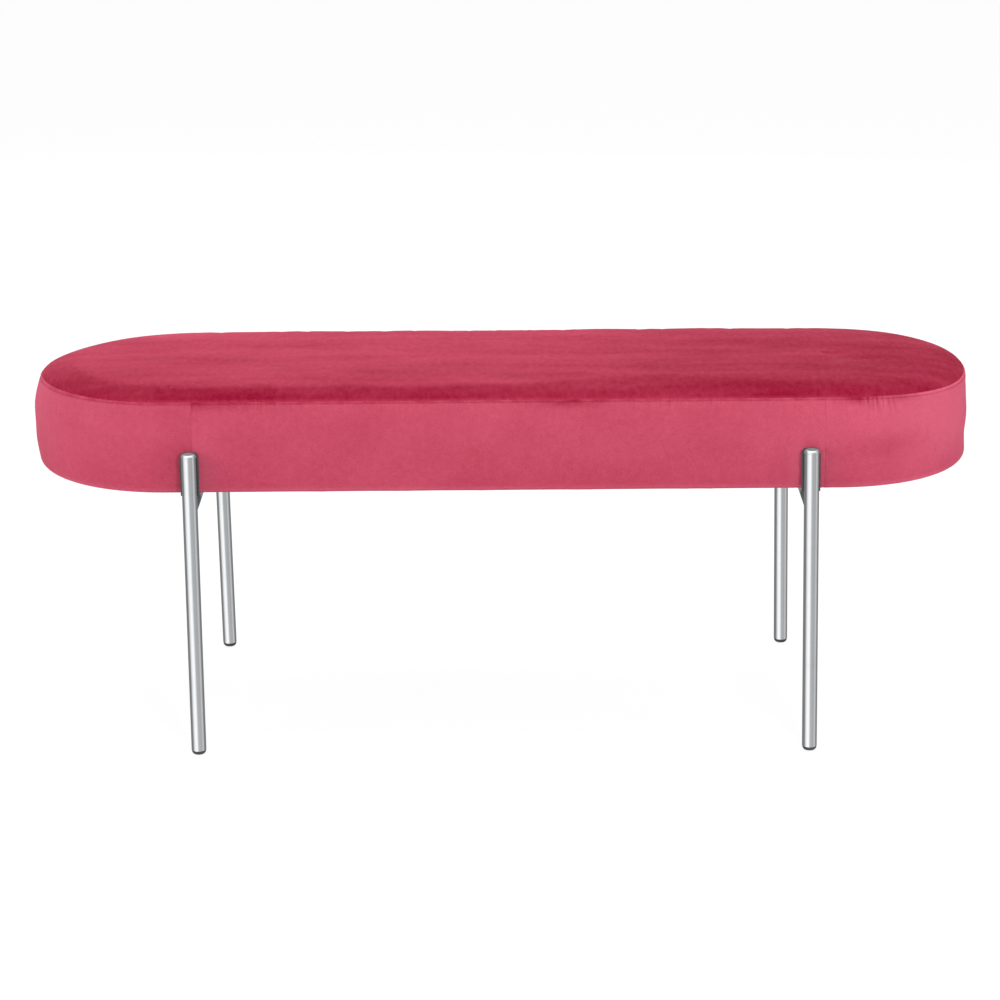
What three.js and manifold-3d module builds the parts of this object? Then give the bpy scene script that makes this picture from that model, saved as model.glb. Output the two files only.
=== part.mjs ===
// Upholstered bench: an oblong padded seat carried by two end frames of bright round tube.
// Millimetres, +Z up. The origin is on the floor under the middle of the seat.
// +X runs along the seat to the right, and -Y is the front.
import * as THREE from "three";
import { mergeVertices } from "three/addons/utils/BufferGeometryUtils.js";
import Module from "manifold-3d";

const wasm = await Module();
wasm.setup();

// Clearances
const fitGap = 0.3; // between pieces that touch on the real bench
const cutOverrun = 2; // how far a cutting solid runs past the face it opens

// Seat outline: a rectangle with a half round at each end
const seatLength = 1160;
const seatDepth = 366;

// Seat heights
const underside = 325; // floor to the lower edge of the cover
const bandHeight = 112; // lower edge of the cover up to the top seam
const crownHeight = 13; // top seam up to the middle of the seat
const crownSharpness = 7; // exponent of the crown: higher is flatter in the middle

// Cover
const coverThickness = 1.6;
const seamDrawIn = 10.5; // how far the top seam is pulled in from the fullest line
const fullestDrop = 43; // top seam down to the fullest line of the band
const footDrawIn = 3; // how far the band leans in below its fullest line
const lowerEdgeRadius = 10;
const hemWidth = 30; // cover turned under the board
const seamInsideLeft = 29.5; // upright band seams, measured in from where the round ends start
const seamInsideRight = 10.5;

// Padding and board
const waddingThickness = 6;
const coreFoamHeight = 52;
const boardThickness = 18;

// Dust cover
const dustThickness = 0.8;
const dustSetback = 12; // from the rounded lower edge in to the rim of the dust cover
const dustStepRun = 5; // the dust cover climbs over the hem's edge within this distance

// Steel tube frames
const tubeDiameter = 18;
const tubeWall = 1.5;
const legInsideEnd = 25; // leg axis, measured in from where the round ends start
const legStandoff = 5.5; // band's fullest line to the tube
const legRise = 55; // legs stand up this far past the lower edge of the cover
const capDome = 4;
const capTopRadius = 5.9;
const capCollar = 0.9; // upright side of the cap below its dome
const plugLength = 12; // of a cap or a foot inside the tube
const footHeight = 5;
const footPadRadius = 4.5; // flat disc that meets the floor
const footReveal = 0.3; // the foot's side stands in from the tube by this

// Spacer between each leg and the cover
const spacerOverhang = 1.6; // how far it shows past the tube on each side
const spacerGrip = 7.5; // how far its cradle reaches round the tube
const spacerChamfer = 4.2;
const spacerDrop = 1.6; // the spacer's top stays this far below the leg's

// Mounting plates, two to a frame
const plateDepth = 70;
const plateThickness = 4;
const plateCorner = 8;
const plateMargin = 3; // from the edge of the dust cover's field to the plate
const boltClearance = 12.5; // side of the rail to the bolt's axis
const boltEdge = 11; // bolt's axis to the side of the plate

// Fasteners, M6
const boltRadius = 3;
const boltHeadRadius = 5.4;
const boltHeadHeight = 3.4;
const boltHeadBevel = 1.2;
const boltTip = 1.2; // the bolt ends this far below the top of the tee nut
const socketRadius = 2.3; // to the corners of its hexagon
const socketSides = 6;
const socketDepth = 2;
const washerRadius = 7;
const washerThickness = 1.4;
const holeClearance = 0.4; // round a bolt or a tee nut's barrel
const threadClearance = 0.15;
const teeWall = 0.85;
const teeBarrelLength = 9;
const teeFlangeRadius = 9.5;
const teeFlangeThickness = 1.4;

// How finely round shapes are stepped
const endSteps = 16; // round the half circle at each end of the seat
const crownSteps = 5;
const crownStepPower = 1.6; // above 1, the steps are closer together near the seam
const crownReachShare = 0.7; // of the way to the middle line, past which the crown is level
const bandSteps = 4;
const edgeSteps = 3;
const tubeSides = 24;
const smallSides = 12;
const cornerSteps = 3;
const domeSteps = 3;

// Worked out from the sizes above
const seatRadius = seatDepth / 2;
const straightHalf = seatLength / 2 - seatRadius;
const seamHeight = underside + bandHeight;
const fullestHeight = seamHeight - fullestDrop;
const lowerEdgeTop = underside + lowerEdgeRadius;
const hemStart = footDrawIn + lowerEdgeRadius; // inset where the flat hem begins
const hemEnd = hemStart + hemWidth;
const boardBottom = underside + coverThickness + fitGap;
const boardTop = boardBottom + boardThickness;
const coreTop = boardTop + fitGap + coreFoamHeight;
const tubeRadius = tubeDiameter / 2;
const boreRadius = tubeRadius - tubeWall;
const legX = straightHalf - legInsideEnd;
const legY = seatRadius + legStandoff + tubeRadius;
const legTop = underside + legRise;
const tubeTop = legTop - capDome - fitGap;
const tubeBottom = footHeight + fitGap;
const dustFieldTop = boardBottom - fitGap;
const plateTop = dustFieldTop - dustThickness - fitGap;
const plateBottom = plateTop - plateThickness;
const railHeight = plateBottom - fitGap - tubeRadius;
const boltOffset = tubeRadius + boltClearance;
const plateWidth = 2 * (boltOffset + boltEdge);
const spacerWidth = tubeDiameter + 2 * spacerOverhang;
const plateY = seatRadius - hemEnd - dustStepRun - plateMargin - plateDepth / 2;
const washerTop = plateBottom - fitGap;
const headTop = washerTop - washerThickness - fitGap;
const teeFlangeTop = boardTop - fitGap;
const teeFlangeBottom = teeFlangeTop - teeFlangeThickness;
const teeBoreRadius = boltRadius + threadClearance;
const teeBarrelRadius = teeBoreRadius + teeWall;
const boltHoleRadius = boltRadius + holeClearance;
const boardHoleRadius = teeBarrelRadius + holeClearance;

// Finishes
const velvet = new THREE.MeshStandardMaterial({ color: 0xc04a66, roughness: 0.85, metalness: 0 });
const paddingFibre = new THREE.MeshStandardMaterial({ color: 0xefece4, roughness: 0.95, metalness: 0 });
const foam = new THREE.MeshStandardMaterial({ color: 0xe6dcae, roughness: 0.9, metalness: 0 });
const plywood = new THREE.MeshStandardMaterial({ color: 0xc9a878, roughness: 0.7, metalness: 0 });
const dustCloth = new THREE.MeshStandardMaterial({ color: 0x26262a, roughness: 0.95, metalness: 0 });
const brightSteel = new THREE.MeshStandardMaterial({ color: 0xd4d6d8, roughness: 0.18, metalness: 1 });
const plainSteel = new THREE.MeshStandardMaterial({ color: 0x9b9da0, roughness: 0.4, metalness: 1 });
const greyPlastic = new THREE.MeshStandardMaterial({ color: 0x4a484d, roughness: 0.55, metalness: 0 });

// A closed geometry as a solid for cuts.
function solidOf(geometry) {
  const bare = geometry.clone();
  bare.deleteAttribute("normal");
  bare.deleteAttribute("uv");
  const merged = mergeVertices(bare);
  const shape = new wasm.Mesh({
    numProp: 3,
    vertProperties: merged.attributes.position.array,
    triVerts: new Uint32Array(merged.index.array),
  });
  return new wasm.Manifold(shape);
}

// A solid back as a geometry.
function geometryOf(solid) {
  const { numProp, vertProperties, triVerts } = solid.getMesh();
  const geometry = new THREE.BufferGeometry();
  geometry.setAttribute("position", new THREE.BufferAttribute(vertProperties, numProp));
  geometry.setIndex(new THREE.BufferAttribute(triVerts, 1));
  geometry.computeVertexNormals();
  return geometry;
}

// A geometry with each of the tools taken out of it.
function cut(geometry, tools) {
  return geometryOf(tools.reduce((body, tool) => body.subtract(solidOf(tool)), solidOf(geometry)));
}

// A solid turned about a vertical axis from [radius, height] points, listed from the bottom up.
function turned(points, sides) {
  const profile = points.map(([radius, height]) => new THREE.Vector2(radius, height));
  return new THREE.LatheGeometry(profile, sides).rotateX(Math.PI / 2);
}

// An upright round bar between two heights.
function bar(radius, low, high, sides) {
  return turned([[0, low], [radius, low], [radius, high], [0, high]], sides);
}

// An upright tube, open at both ends.
function hollowBar(outer, inner, low, high, sides) {
  return turned([[inner, low], [outer, low], [outer, high], [inner, high], [inner, low]], sides);
}

// A point on the seat: how far in from the outline, and how high, at one station round it.
function seatPoint(station, [inset, height]) {
  const reach = seatRadius - inset;
  return [station.x + reach * station.nx, reach * station.ny, height];
}

// Stations round the half circle at one end, from side -1 (left) or 1 (right), anticlockwise.
function endStations(side) {
  const start = side > 0 ? -Math.PI / 2 : Math.PI / 2;
  return Array.from({ length: endSteps + 1 }, (_, step) => {
    const angle = start + (Math.PI * step) / endSteps;
    return { x: side * straightHalf, nx: Math.cos(angle), ny: Math.sin(angle) };
  });
}

// A station on the straight front (ny = -1) or back (ny = 1) edge.
function straightStation(x, ny) {
  return { x, nx: 0, ny };
}

// Triangles between neighbouring rows of points. A closed row joins its last point to its first.
function skinRows(rows, rowClosed) {
  const width = rows[0].length;
  const faces = [];
  for (let row = 0; row + 1 < rows.length; row += 1) {
    for (let column = 0; column < (rowClosed ? width : width - 1); column += 1) {
      const next = (column + 1) % width;
      const [a, b] = [row * width + column, row * width + next];
      const [c, d] = [a + width, b + width];
      faces.push(a, b, d, a, d, c);
    }
  }
  return faces;
}

// A geometry from points and faces.
function meshFrom(points, faces) {
  const geometry = new THREE.BufferGeometry();
  geometry.setAttribute("position", new THREE.Float32BufferAttribute(points.flat(), 3));
  geometry.setIndex(faces);
  geometry.computeVertexNormals();
  return geometry;
}

// A solid that follows the whole seat outline, from [inset, height] points that run outwards
// over its lower face, up its side and inwards over its upper face. Flat lids close the middle.
function oblong(profile) {
  const around = [...endStations(1), ...endStations(-1)];
  const rows = profile.map((place) => around.map((station) => seatPoint(station, place)));
  const faces = skinRows(rows, true);
  const points = rows.flat();
  const last = points.length - around.length;
  const [lowerMiddle, upperMiddle] = [points.length, points.length + 1];
  points.push([0, 0, profile[0][1]], [0, 0, profile[profile.length - 1][1]]);
  around.forEach((_, index) => {
    const next = (index + 1) % around.length;
    faces.push(lowerMiddle, next, index, upperMiddle, last + index, last + next);
  });
  return meshFrom(points, faces);
}

// A strip of the seat's side that runs anticlockwise through the given stations. Its closed
// section is [inset, height] points: inwards to outwards underneath, up the outer face and back.
function strip(stations, section) {
  const closed = [...section, section[0]];
  const rows = closed.map((place) => stations.map((station) => seatPoint(station, place)));
  const faces = skinRows(rows, false);
  const outline = section.map(([inset, height]) => new THREE.Vector2(inset, height));
  const last = stations.length - 1;
  THREE.ShapeUtils.triangulateShape(outline, []).forEach((corner) => {
    const [a, b, c] = corner.map((index) => index * stations.length);
    faces.push(c, b, a, a + last, b + last, c + last);
  });
  return meshFrom(rows.flat(), faces);
}

// How far in the band's outer face stands at a height between the rounded edge and the seam.
function bandInset(height) {
  if (height >= fullestHeight) {
    const share = (seamHeight - height) / fullestDrop;
    return seamDrawIn * (1 - Math.sin((share * Math.PI) / 2));
  }
  const share = (fullestHeight - height) / (fullestHeight - lowerEdgeTop);
  return footDrawIn * share ** 2;
}

// Evenly spaced values from first to last.
function spread(first, last, steps) {
  return Array.from({ length: steps + 1 }, (_, step) => first + ((last - first) * step) / steps);
}

// The outside of the cover from the inner edge of its hem up to the seam.
function bandFace() {
  const edge = spread(Math.PI / 2, 0, edgeSteps).map((angle) => [
    footDrawIn + lowerEdgeRadius * (1 - Math.cos(angle)),
    underside + lowerEdgeRadius * (1 - Math.sin(angle)),
  ]);
  const lower = spread(lowerEdgeTop, fullestHeight, bandSteps).slice(1);
  const upper = spread(fullestHeight, seamHeight, bandSteps).slice(1);
  const side = [...lower, ...upper].map((height) => [bandInset(height), height]);
  return [[hemEnd, underside], ...edge, ...side];
}

// The outside of the cover from the seam in over the crown, which climbs as 1 - (1 - t)^n,
// where t runs from 0 at the seam to 1 on the seat's middle line.
function crownFace() {
  const stepShares = spread(0, 1, crownSteps).map((share) => share ** crownStepPower * crownReachShare);
  return stepShares.map((share) => [
    seamDrawIn + share * (seatRadius - seamDrawIn),
    seamHeight + crownHeight * (1 - (1 - share) ** crownSharpness),
  ]);
}

// The skin moved inwards by a distance, square to its face, with mitred corners.
function offsetSkin(points, distance) {
  const normals = points.slice(1).map(([inset, height], index) => {
    const [alongIn, alongUp] = [inset - points[index][0], height - points[index][1]];
    const run = Math.hypot(alongIn, alongUp);
    return [alongUp / run, -alongIn / run];
  });
  return points.map(([inset, height], index) => {
    const before = normals[Math.max(index - 1, 0)];
    const after = normals[Math.min(index, normals.length - 1)];
    const reach = distance / (1 + before[0] * after[0] + before[1] * after[1]);
    return [inset + (before[0] + after[0]) * reach, height + (before[1] + after[1]) * reach];
  });
}

// The point where a rising profile passes a height.
function pointAt(points, height) {
  const index = points.findIndex(([, z], place) => place > 0 && z >= height);
  const [[i0, z0], [i1, z1]] = [points[index - 1], points[index]];
  return [i0 + ((i1 - i0) * (height - z0)) / (z1 - z0), height];
}

// A profile with its first point moved along its first stretch.
function trimStart(points, distance) {
  const [[i0, z0], [i1, z1]] = points;
  const share = distance / Math.hypot(i1 - i0, z1 - z0);
  return [[i0 + (i1 - i0) * share, z0 + (z1 - z0) * share], ...points.slice(1)];
}

// A profile with its last point moved back along its last stretch.
function trimEnd(points, distance) {
  return trimStart([...points].reverse(), distance).reverse();
}

// Skins of the padding, worked out from the cover's outside
const band = bandFace();
const crown = crownFace();
const skin = [...band, ...crown.slice(1)];
const coverInside = offsetSkin(skin, coverThickness);
const waddingOutside = offsetSkin(skin, coverThickness + fitGap);
const waddingInside = offsetSkin(skin, coverThickness + fitGap + waddingThickness);
const foamOutside = offsetSkin(skin, coverThickness + 2 * fitGap + waddingThickness);
const firstSidePoint = 1 + edgeSteps; // skips the hem and the rounded edge
const seamPoint = band.length - 1;

// The top panel of the cover, a crowned sheet.
function coverTop() {
  const outer = trimStart(crown, fitGap / 2);
  const inner = trimStart(coverInside.slice(seamPoint), fitGap / 2);
  return oblong([...inner.reverse(), ...outer]);
}

// One panel of the band, with its hem turned under the board.
function bandPanel(stations) {
  const outer = trimEnd(band, fitGap / 2);
  const inner = trimEnd(coverInside.slice(0, seamPoint + 1), fitGap / 2);
  return strip(stations, [...outer, ...inner.reverse()]);
}

// The band's four panels: front and back are straight, and the ends carry the half rounds.
function bandPanels() {
  const left = -(straightHalf - seamInsideLeft);
  const right = straightHalf - seamInsideRight;
  const half = fitGap / 2;
  const run = (from, to, ny) => [straightStation(from, ny), straightStation(to, ny)];
  const rightEnd = [straightStation(right + half, -1), ...endStations(1), straightStation(right + half, 1)];
  const leftEnd = [straightStation(left - half, 1), ...endStations(-1), straightStation(left - half, -1)];
  return {
    band_front: bandPanel(run(left + half, right - half, -1)),
    band_right: bandPanel(rightEnd),
    band_back: bandPanel(run(right - half, left + half, 1)),
    band_left: bandPanel(leftEnd),
  };
}

// Fibre wadding that wraps the foam and the upper part of the board's edge.
function wadding() {
  const outer = waddingOutside.slice(firstSidePoint);
  const inner = waddingInside.slice(firstSidePoint);
  return oblong([...inner.reverse(), ...outer]);
}

// Firm foam on the board.
function foamCore() {
  const [low, high] = [boardTop + fitGap, coreTop];
  const inside = foamOutside.filter(([, z]) => z > low && z < high);
  return oblong([pointAt(foamOutside, low), ...inside, pointAt(foamOutside, high)]);
}

// Soft foam under the crown.
function comfortLayer() {
  const low = coreTop + fitGap;
  return oblong([pointAt(foamOutside, low), ...foamOutside.filter(([, z]) => z > low)]);
}

// Where the bolts stand: two on each plate, one on each side of the rail.
function boltPlaces() {
  return corners().flatMap(({ sideX, sideY }) =>
    [-boltOffset, boltOffset].map((offset) => [sideX * legX + offset, sideY * plateY]),
  );
}

// Plywood board with a stepped hole for each tee nut.
function baseBoard() {
  const paddingInset = footDrawIn + coverThickness + waddingThickness + 2 * fitGap;
  const inset = Math.max(hemStart, paddingInset);
  const board = oblong([[inset, boardBottom], [inset, boardTop]]);
  const flangeSeat = teeFlangeBottom - fitGap;
  const hole = [
    [0, boardBottom - cutOverrun],
    [boardHoleRadius, boardBottom - cutOverrun],
    [boardHoleRadius, flangeSeat],
    [teeFlangeRadius + fitGap, flangeSeat],
    [teeFlangeRadius + fitGap, boardTop + cutOverrun],
    [0, boardTop + cutOverrun],
  ];
  return cut(board, boltPlaces().map(([x, y]) => turned(hole, smallSides).translate(x, y, 0)));
}

// Thin cloth under the seat: its rim lies under the hem, and its field lies on the board.
function dustCover() {
  const rim = hemStart + dustSetback;
  const rimTop = underside - fitGap;
  const field = hemEnd + dustStepRun;
  const top = [[rim, rimTop], [hemEnd + fitGap, rimTop], [field, dustFieldTop]];
  const bottom = top.map(([inset, height]) => [inset, height - dustThickness]).reverse();
  const low = rimTop - dustThickness - cutOverrun;
  const high = dustFieldTop + cutOverrun;
  const holes = boltPlaces().map(([x, y]) => bar(boltHoleRadius, low, high, smallSides).translate(x, y, 0));
  return cut(oblong([...bottom, ...top]), holes);
}

// The four corners of the bench, with the sign of each along X and Y.
function corners() {
  return [
    { corner: "front_left", sideX: -1, sideY: -1 },
    { corner: "front_right", sideX: 1, sideY: -1 },
    { corner: "rear_left", sideX: -1, sideY: 1 },
    { corner: "rear_right", sideX: 1, sideY: 1 },
  ];
}

// The cross tube under the seat, with its ends notched round the legs.
function rail() {
  const tube = hollowBar(tubeRadius, boreRadius, -legY, legY, tubeSides);
  tube.rotateX(Math.PI / 2).translate(0, 0, railHeight);
  const [low, high] = [railHeight - tubeDiameter, railHeight + tubeDiameter];
  const notches = [-legY, legY].map((y) =>
    bar(tubeRadius + fitGap, low, high, tubeSides).translate(0, y, 0),
  );
  return cut(tube, notches);
}

// A leg's tube, upright at the origin.
function legTube() {
  return hollowBar(tubeRadius, boreRadius, tubeBottom, tubeTop, tubeSides);
}

// Quarter-round points from [outer, low] in to [inner, high].
function dome(outer, inner, low, high) {
  return spread(0, Math.PI / 2, domeSteps).map((angle) => [
    inner + (outer - inner) * Math.cos(angle),
    low + (high - low) * Math.sin(angle),
  ]);
}

// The domed cap that closes a leg's top, with its plug in the tube.
function legCap() {
  const plug = boreRadius - fitGap;
  const seat = tubeTop + fitGap;
  const side = dome(tubeRadius, capTopRadius, seat + capCollar, legTop);
  const inside = [[0, seat - plugLength], [plug, seat - plugLength], [plug, seat]];
  return turned([...inside, [tubeRadius, seat], ...side, [0, legTop]], tubeSides);
}

// The plastic foot: a flat disc on the floor, a rounded side and a plug in the tube.
function foot() {
  const plug = boreRadius - fitGap;
  const outer = tubeRadius - footReveal;
  const side = spread(0, Math.PI / 2, domeSteps).map((angle) => [
    footPadRadius + (outer - footPadRadius) * Math.sin(angle),
    footHeight * (1 - Math.cos(angle)),
  ]);
  const plugTop = footHeight + plugLength;
  return turned([[0, 0], ...side, [plug, footHeight], [plug, plugTop], [0, plugTop]], tubeSides);
}

// A flat outline with its corners cut off at 45 degrees along the top.
function spacerOutline(low, high) {
  const half = spacerWidth / 2;
  const shape = new THREE.Shape();
  shape.moveTo(-half, low);
  shape.lineTo(half, low);
  shape.lineTo(half, high - spacerChamfer);
  shape.lineTo(half - spacerChamfer, high);
  shape.lineTo(spacerChamfer - half, high);
  shape.lineTo(-half, high - spacerChamfer);
  return shape;
}

// The plastic spacer behind a leg: flat against the cover, with a cradle for the tube.
// It is made at the front, with the tube's axis on the origin.
function spacer() {
  const back = tubeRadius + legStandoff - fitGap;
  const front = tubeRadius - spacerGrip;
  const outline = spacerOutline(underside, legTop - spacerDrop);
  const block = new THREE.ExtrudeGeometry(outline, { depth: back - front, bevelEnabled: false });
  block.rotateX(Math.PI / 2).translate(0, back, 0);
  const tube = bar(tubeRadius + fitGap, underside - cutOverrun, legTop + cutOverrun, tubeSides);
  return cut(block, [tube]);
}

// A flat plate with round corners and a hole for each bolt.
function plate() {
  const [halfX, halfY] = [plateWidth / 2 - plateCorner, plateDepth / 2 - plateCorner];
  const shape = new THREE.Shape();
  shape.absarc(halfX, halfY, plateCorner, 0, Math.PI / 2);
  shape.absarc(-halfX, halfY, plateCorner, Math.PI / 2, Math.PI);
  shape.absarc(-halfX, -halfY, plateCorner, Math.PI, 1.5 * Math.PI);
  shape.absarc(halfX, -halfY, plateCorner, 1.5 * Math.PI, 2 * Math.PI);
  shape.closePath();
  const blank = new THREE.ExtrudeGeometry(shape, {
    depth: plateThickness,
    bevelEnabled: false,
    curveSegments: cornerSteps,
  });
  blank.translate(0, 0, plateBottom);
  const holes = [-boltOffset, boltOffset].map((x) =>
    bar(boltHoleRadius, plateBottom - cutOverrun, plateTop + cutOverrun, smallSides).translate(x, 0, 0),
  );
  return cut(blank, holes);
}

// A pan-head bolt with a hexagon socket, head down.
function bolt() {
  const low = headTop - boltHeadHeight;
  const body = turned(
    [
      [0, low],
      [boltHeadRadius - boltHeadBevel, low],
      [boltHeadRadius, low + boltHeadBevel],
      [boltHeadRadius, headTop],
      [boltRadius, headTop],
      [boltRadius, teeFlangeTop - boltTip],
      [0, teeFlangeTop - boltTip],
    ],
    smallSides,
  );
  return cut(body, [bar(socketRadius, low - cutOverrun, low + socketDepth, socketSides)]);
}

// A flat washer between a bolt's head and the plate.
function washer() {
  return hollowBar(washerRadius, boltHoleRadius, washerTop - washerThickness, washerTop, smallSides);
}

// A tee nut: a flange let into the board's top and a threaded barrel below it.
function teeNut() {
  return turned(
    [
      [teeBoreRadius, teeFlangeTop - teeBarrelLength],
      [teeBarrelRadius, teeFlangeTop - teeBarrelLength],
      [teeBarrelRadius, teeFlangeBottom],
      [teeFlangeRadius, teeFlangeBottom],
      [teeFlangeRadius, teeFlangeTop],
      [teeBoreRadius, teeFlangeTop],
      [teeBoreRadius, teeFlangeTop - teeBarrelLength],
    ],
    smallSides,
  );
}

const bench = new THREE.Group();

// Adds a named piece to a group, at a place in it.
function place(group, name, geometry, material, x = 0, y = 0) {
  const mesh = new THREE.Mesh(geometry, material);
  mesh.name = name;
  mesh.position.set(x, y, 0);
  group.add(mesh);
  return mesh;
}

// The padded seat with its cover, board and dust cover.
function buildSeat() {
  const seat = new THREE.Group();
  place(seat, "base_board", baseBoard(), plywood);
  place(seat, "foam_core", foamCore(), foam);
  place(seat, "comfort_layer", comfortLayer(), foam);
  place(seat, "wadding", wadding(), paddingFibre);
  place(seat, "cover_top", coverTop(), velvet);
  Object.entries(bandPanels()).forEach(([name, geometry]) => place(seat, name, geometry, velvet));
  place(seat, "dust_cover", dustCover(), dustCloth);
  return seat;
}

// One end frame: the rail, and everything that stands at its two corners.
function buildFrame(end, sideX) {
  const frame = new THREE.Group();
  frame.position.x = sideX * legX;
  place(frame, end + "_rail", rail(), brightSteel);
  corners()
    .filter((entry) => entry.sideX === sideX)
    .forEach(({ corner, sideY }) => {
      const y = sideY * legY;
      place(frame, corner + "_leg", legTube(), brightSteel, 0, y);
      place(frame, corner + "_leg_cap", legCap(), brightSteel, 0, y);
      place(frame, corner + "_foot", foot(), greyPlastic, 0, y);
      const pad = place(frame, corner + "_spacer", spacer(), greyPlastic, 0, y);
      pad.rotation.z = sideY > 0 ? Math.PI : 0;
      place(frame, corner + "_plate", plate(), plainSteel, 0, sideY * plateY);
      [["outer", sideX], ["inner", -sideX]].forEach(([where, side]) => {
        const [x, boltY] = [side * boltOffset, sideY * plateY];
        place(frame, `${corner}_${where}_bolt`, bolt(), plainSteel, x, boltY);
        place(frame, `${corner}_${where}_washer`, washer(), plainSteel, x, boltY);
        place(frame, `${corner}_${where}_tee_nut`, teeNut(), plainSteel, x, boltY);
      });
    });
  return frame;
}

bench.add(buildSeat(), buildFrame("left", -1), buildFrame("right", 1));

export default bench;
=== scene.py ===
"""The looks of an upholstered bench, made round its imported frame.

Everything is in metres in the frame's own axes: +X along the seat, -Y to the front, +Z up, the floor at zero.
The cover, padding and dust cloth stand for the frame's soft solids. The tubes, caps, feet, spacers, plates,
bolts and washers are finer forms of the frame's pieces in the same places, with welds, staples and stitches.
"""

import logging
import math
from dataclasses import dataclass, field, replace
from enum import Enum

import bmesh
import bpy
import numpy as np
from mathutils import Matrix, Vector


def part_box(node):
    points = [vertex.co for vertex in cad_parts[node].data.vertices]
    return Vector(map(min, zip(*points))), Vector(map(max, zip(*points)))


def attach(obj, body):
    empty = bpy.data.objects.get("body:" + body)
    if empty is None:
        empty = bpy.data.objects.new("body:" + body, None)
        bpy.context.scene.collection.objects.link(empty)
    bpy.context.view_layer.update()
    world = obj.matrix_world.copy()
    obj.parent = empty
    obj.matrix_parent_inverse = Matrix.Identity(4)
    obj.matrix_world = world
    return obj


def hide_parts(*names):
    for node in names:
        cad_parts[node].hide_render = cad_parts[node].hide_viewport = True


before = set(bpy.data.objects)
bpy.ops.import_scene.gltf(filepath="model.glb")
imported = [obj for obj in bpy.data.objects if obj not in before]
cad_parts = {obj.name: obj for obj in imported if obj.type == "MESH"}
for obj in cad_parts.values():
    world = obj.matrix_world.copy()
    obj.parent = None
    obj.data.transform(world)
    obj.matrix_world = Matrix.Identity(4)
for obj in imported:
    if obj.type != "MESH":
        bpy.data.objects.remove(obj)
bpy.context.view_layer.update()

log = logging.getLogger("bench")
Array = np.ndarray
MM = 0.001
TAU = 2 * math.pi
UP = np.array([0.0, 0.0, 1.0])
BODY = "root"


class Corner(Enum):
    """The four corners of the bench, each with its node prefix and its sign along X and Y."""

    FRONT_LEFT = ("front_left", -1, -1)
    FRONT_RIGHT = ("front_right", 1, -1)
    REAR_LEFT = ("rear_left", -1, 1)
    REAR_RIGHT = ("rear_right", 1, 1)

    @staticmethod
    def at(side: int, face: int) -> "Corner":
        """The corner at this end of the bench and on this face of it."""
        return next(corner for corner in Corner if (corner.side, corner.face) == (side, face))

    @property
    def prefix(self) -> str:
        """The start of the names of the nodes at this corner."""
        return self.value[0]

    @property
    def side(self) -> int:
        """-1 at the left end of the bench and 1 at the right end."""
        return self.value[1]

    @property
    def face(self) -> int:
        """-1 at the front of the bench and 1 at the back."""
        return self.value[2]


class BoltPlace(Enum):
    """The two bolts of a mounting plate: on the side of the bench's end, or of its middle."""

    OUTER = "outer"
    INNER = "inner"


class BandPanel(Enum):
    """The four panels of the cover's side band."""

    FRONT = "band_front"
    RIGHT = "band_right"
    BACK = "band_back"
    LEFT = "band_left"


class Slot(Enum):
    """The record's material slots."""

    VELVET = "velvet"
    WADDING = "wadding"
    FOAM = "foam"
    PLYWOOD = "plywood"
    DUST_CLOTH = "dust_cloth"
    BRIGHT_STEEL = "chromed_tube"
    PLATED_STEEL = "plated_steel"
    GREY_PLASTIC = "grey_plastic"


# In the photo the legs mirror the studio and nothing of the seat
SEAT_SLOTS = (Slot.VELVET, Slot.WADDING, Slot.FOAM, Slot.PLYWOOD, Slot.DUST_CLOTH)


@dataclass(frozen=True)
class Extent:
    """The box that a node of the frame fills."""

    low: Array
    high: Array

    @staticmethod
    def of(node: str) -> "Extent":
        """Reads a node's box from the frame.

        Args:
            node: name of the node.

        Returns:
            Its lowest and highest corners.
        """
        low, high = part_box(node)
        return Extent(np.array(low), np.array(high))

    @property
    def centre(self) -> Array:
        """The middle of the box."""
        return (self.low + self.high) / 2

    @property
    def size(self) -> Array:
        """Its length along each axis."""
        return self.high - self.low


# Surfaces


@dataclass
class Shape:
    """A surface: points, four-cornered faces, and what its materials read at each point.

    A closed end or a pole is a row of points in one place, which the mesh merges.
    """

    points: Array
    faces: Array
    uv: Array | None = None
    pile: dict[str, Array] | None = None

    def moved(self, x: float = 0.0, y: float = 0.0, z: float = 0.0) -> "Shape":
        """The same surface, shifted."""
        return Shape(self.points + np.array([x, y, z]), self.faces, self.uv, self.pile)

    def copies(self, origins: Array, axes: Array) -> "Shape":
        """Repeats the surface: each point p becomes origin + p.x * axis0 + p.y * axis1 + p.z * axis2.

        Args:
            origins: one place for each copy, as rows of three.
            axes: for each copy, its three axes as the rows of a 3 by 3 array.

        Returns:
            All the copies as one surface.
        """
        count = len(self.points)
        points = origins[:, None, :] + np.einsum("pa,kax->kpx", self.points, axes)
        steps = np.arange(len(origins))[:, None, None] * count
        return Shape(points.reshape(-1, 3), (self.faces[None] + steps).reshape(-1, 4))


def joined(shapes: list[Shape]) -> Shape:
    """Puts several surfaces into one.

    Args:
        shapes: the surfaces, all with uv and pile or all without.

    Returns:
        One surface that holds them all.
    """
    starts = np.cumsum([0] + [len(shape.points) for shape in shapes[:-1]])
    faces = np.concatenate([shape.faces + start for shape, start in zip(shapes, starts)])
    points = np.concatenate([shape.points for shape in shapes])
    if shapes[0].uv is None:
        return Shape(points, faces)
    uv = np.concatenate([shape.uv for shape in shapes])
    pile = {name: np.concatenate([shape.pile[name] for shape in shapes]) for name in shapes[0].pile}
    return Shape(points, faces, uv, pile)


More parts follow.
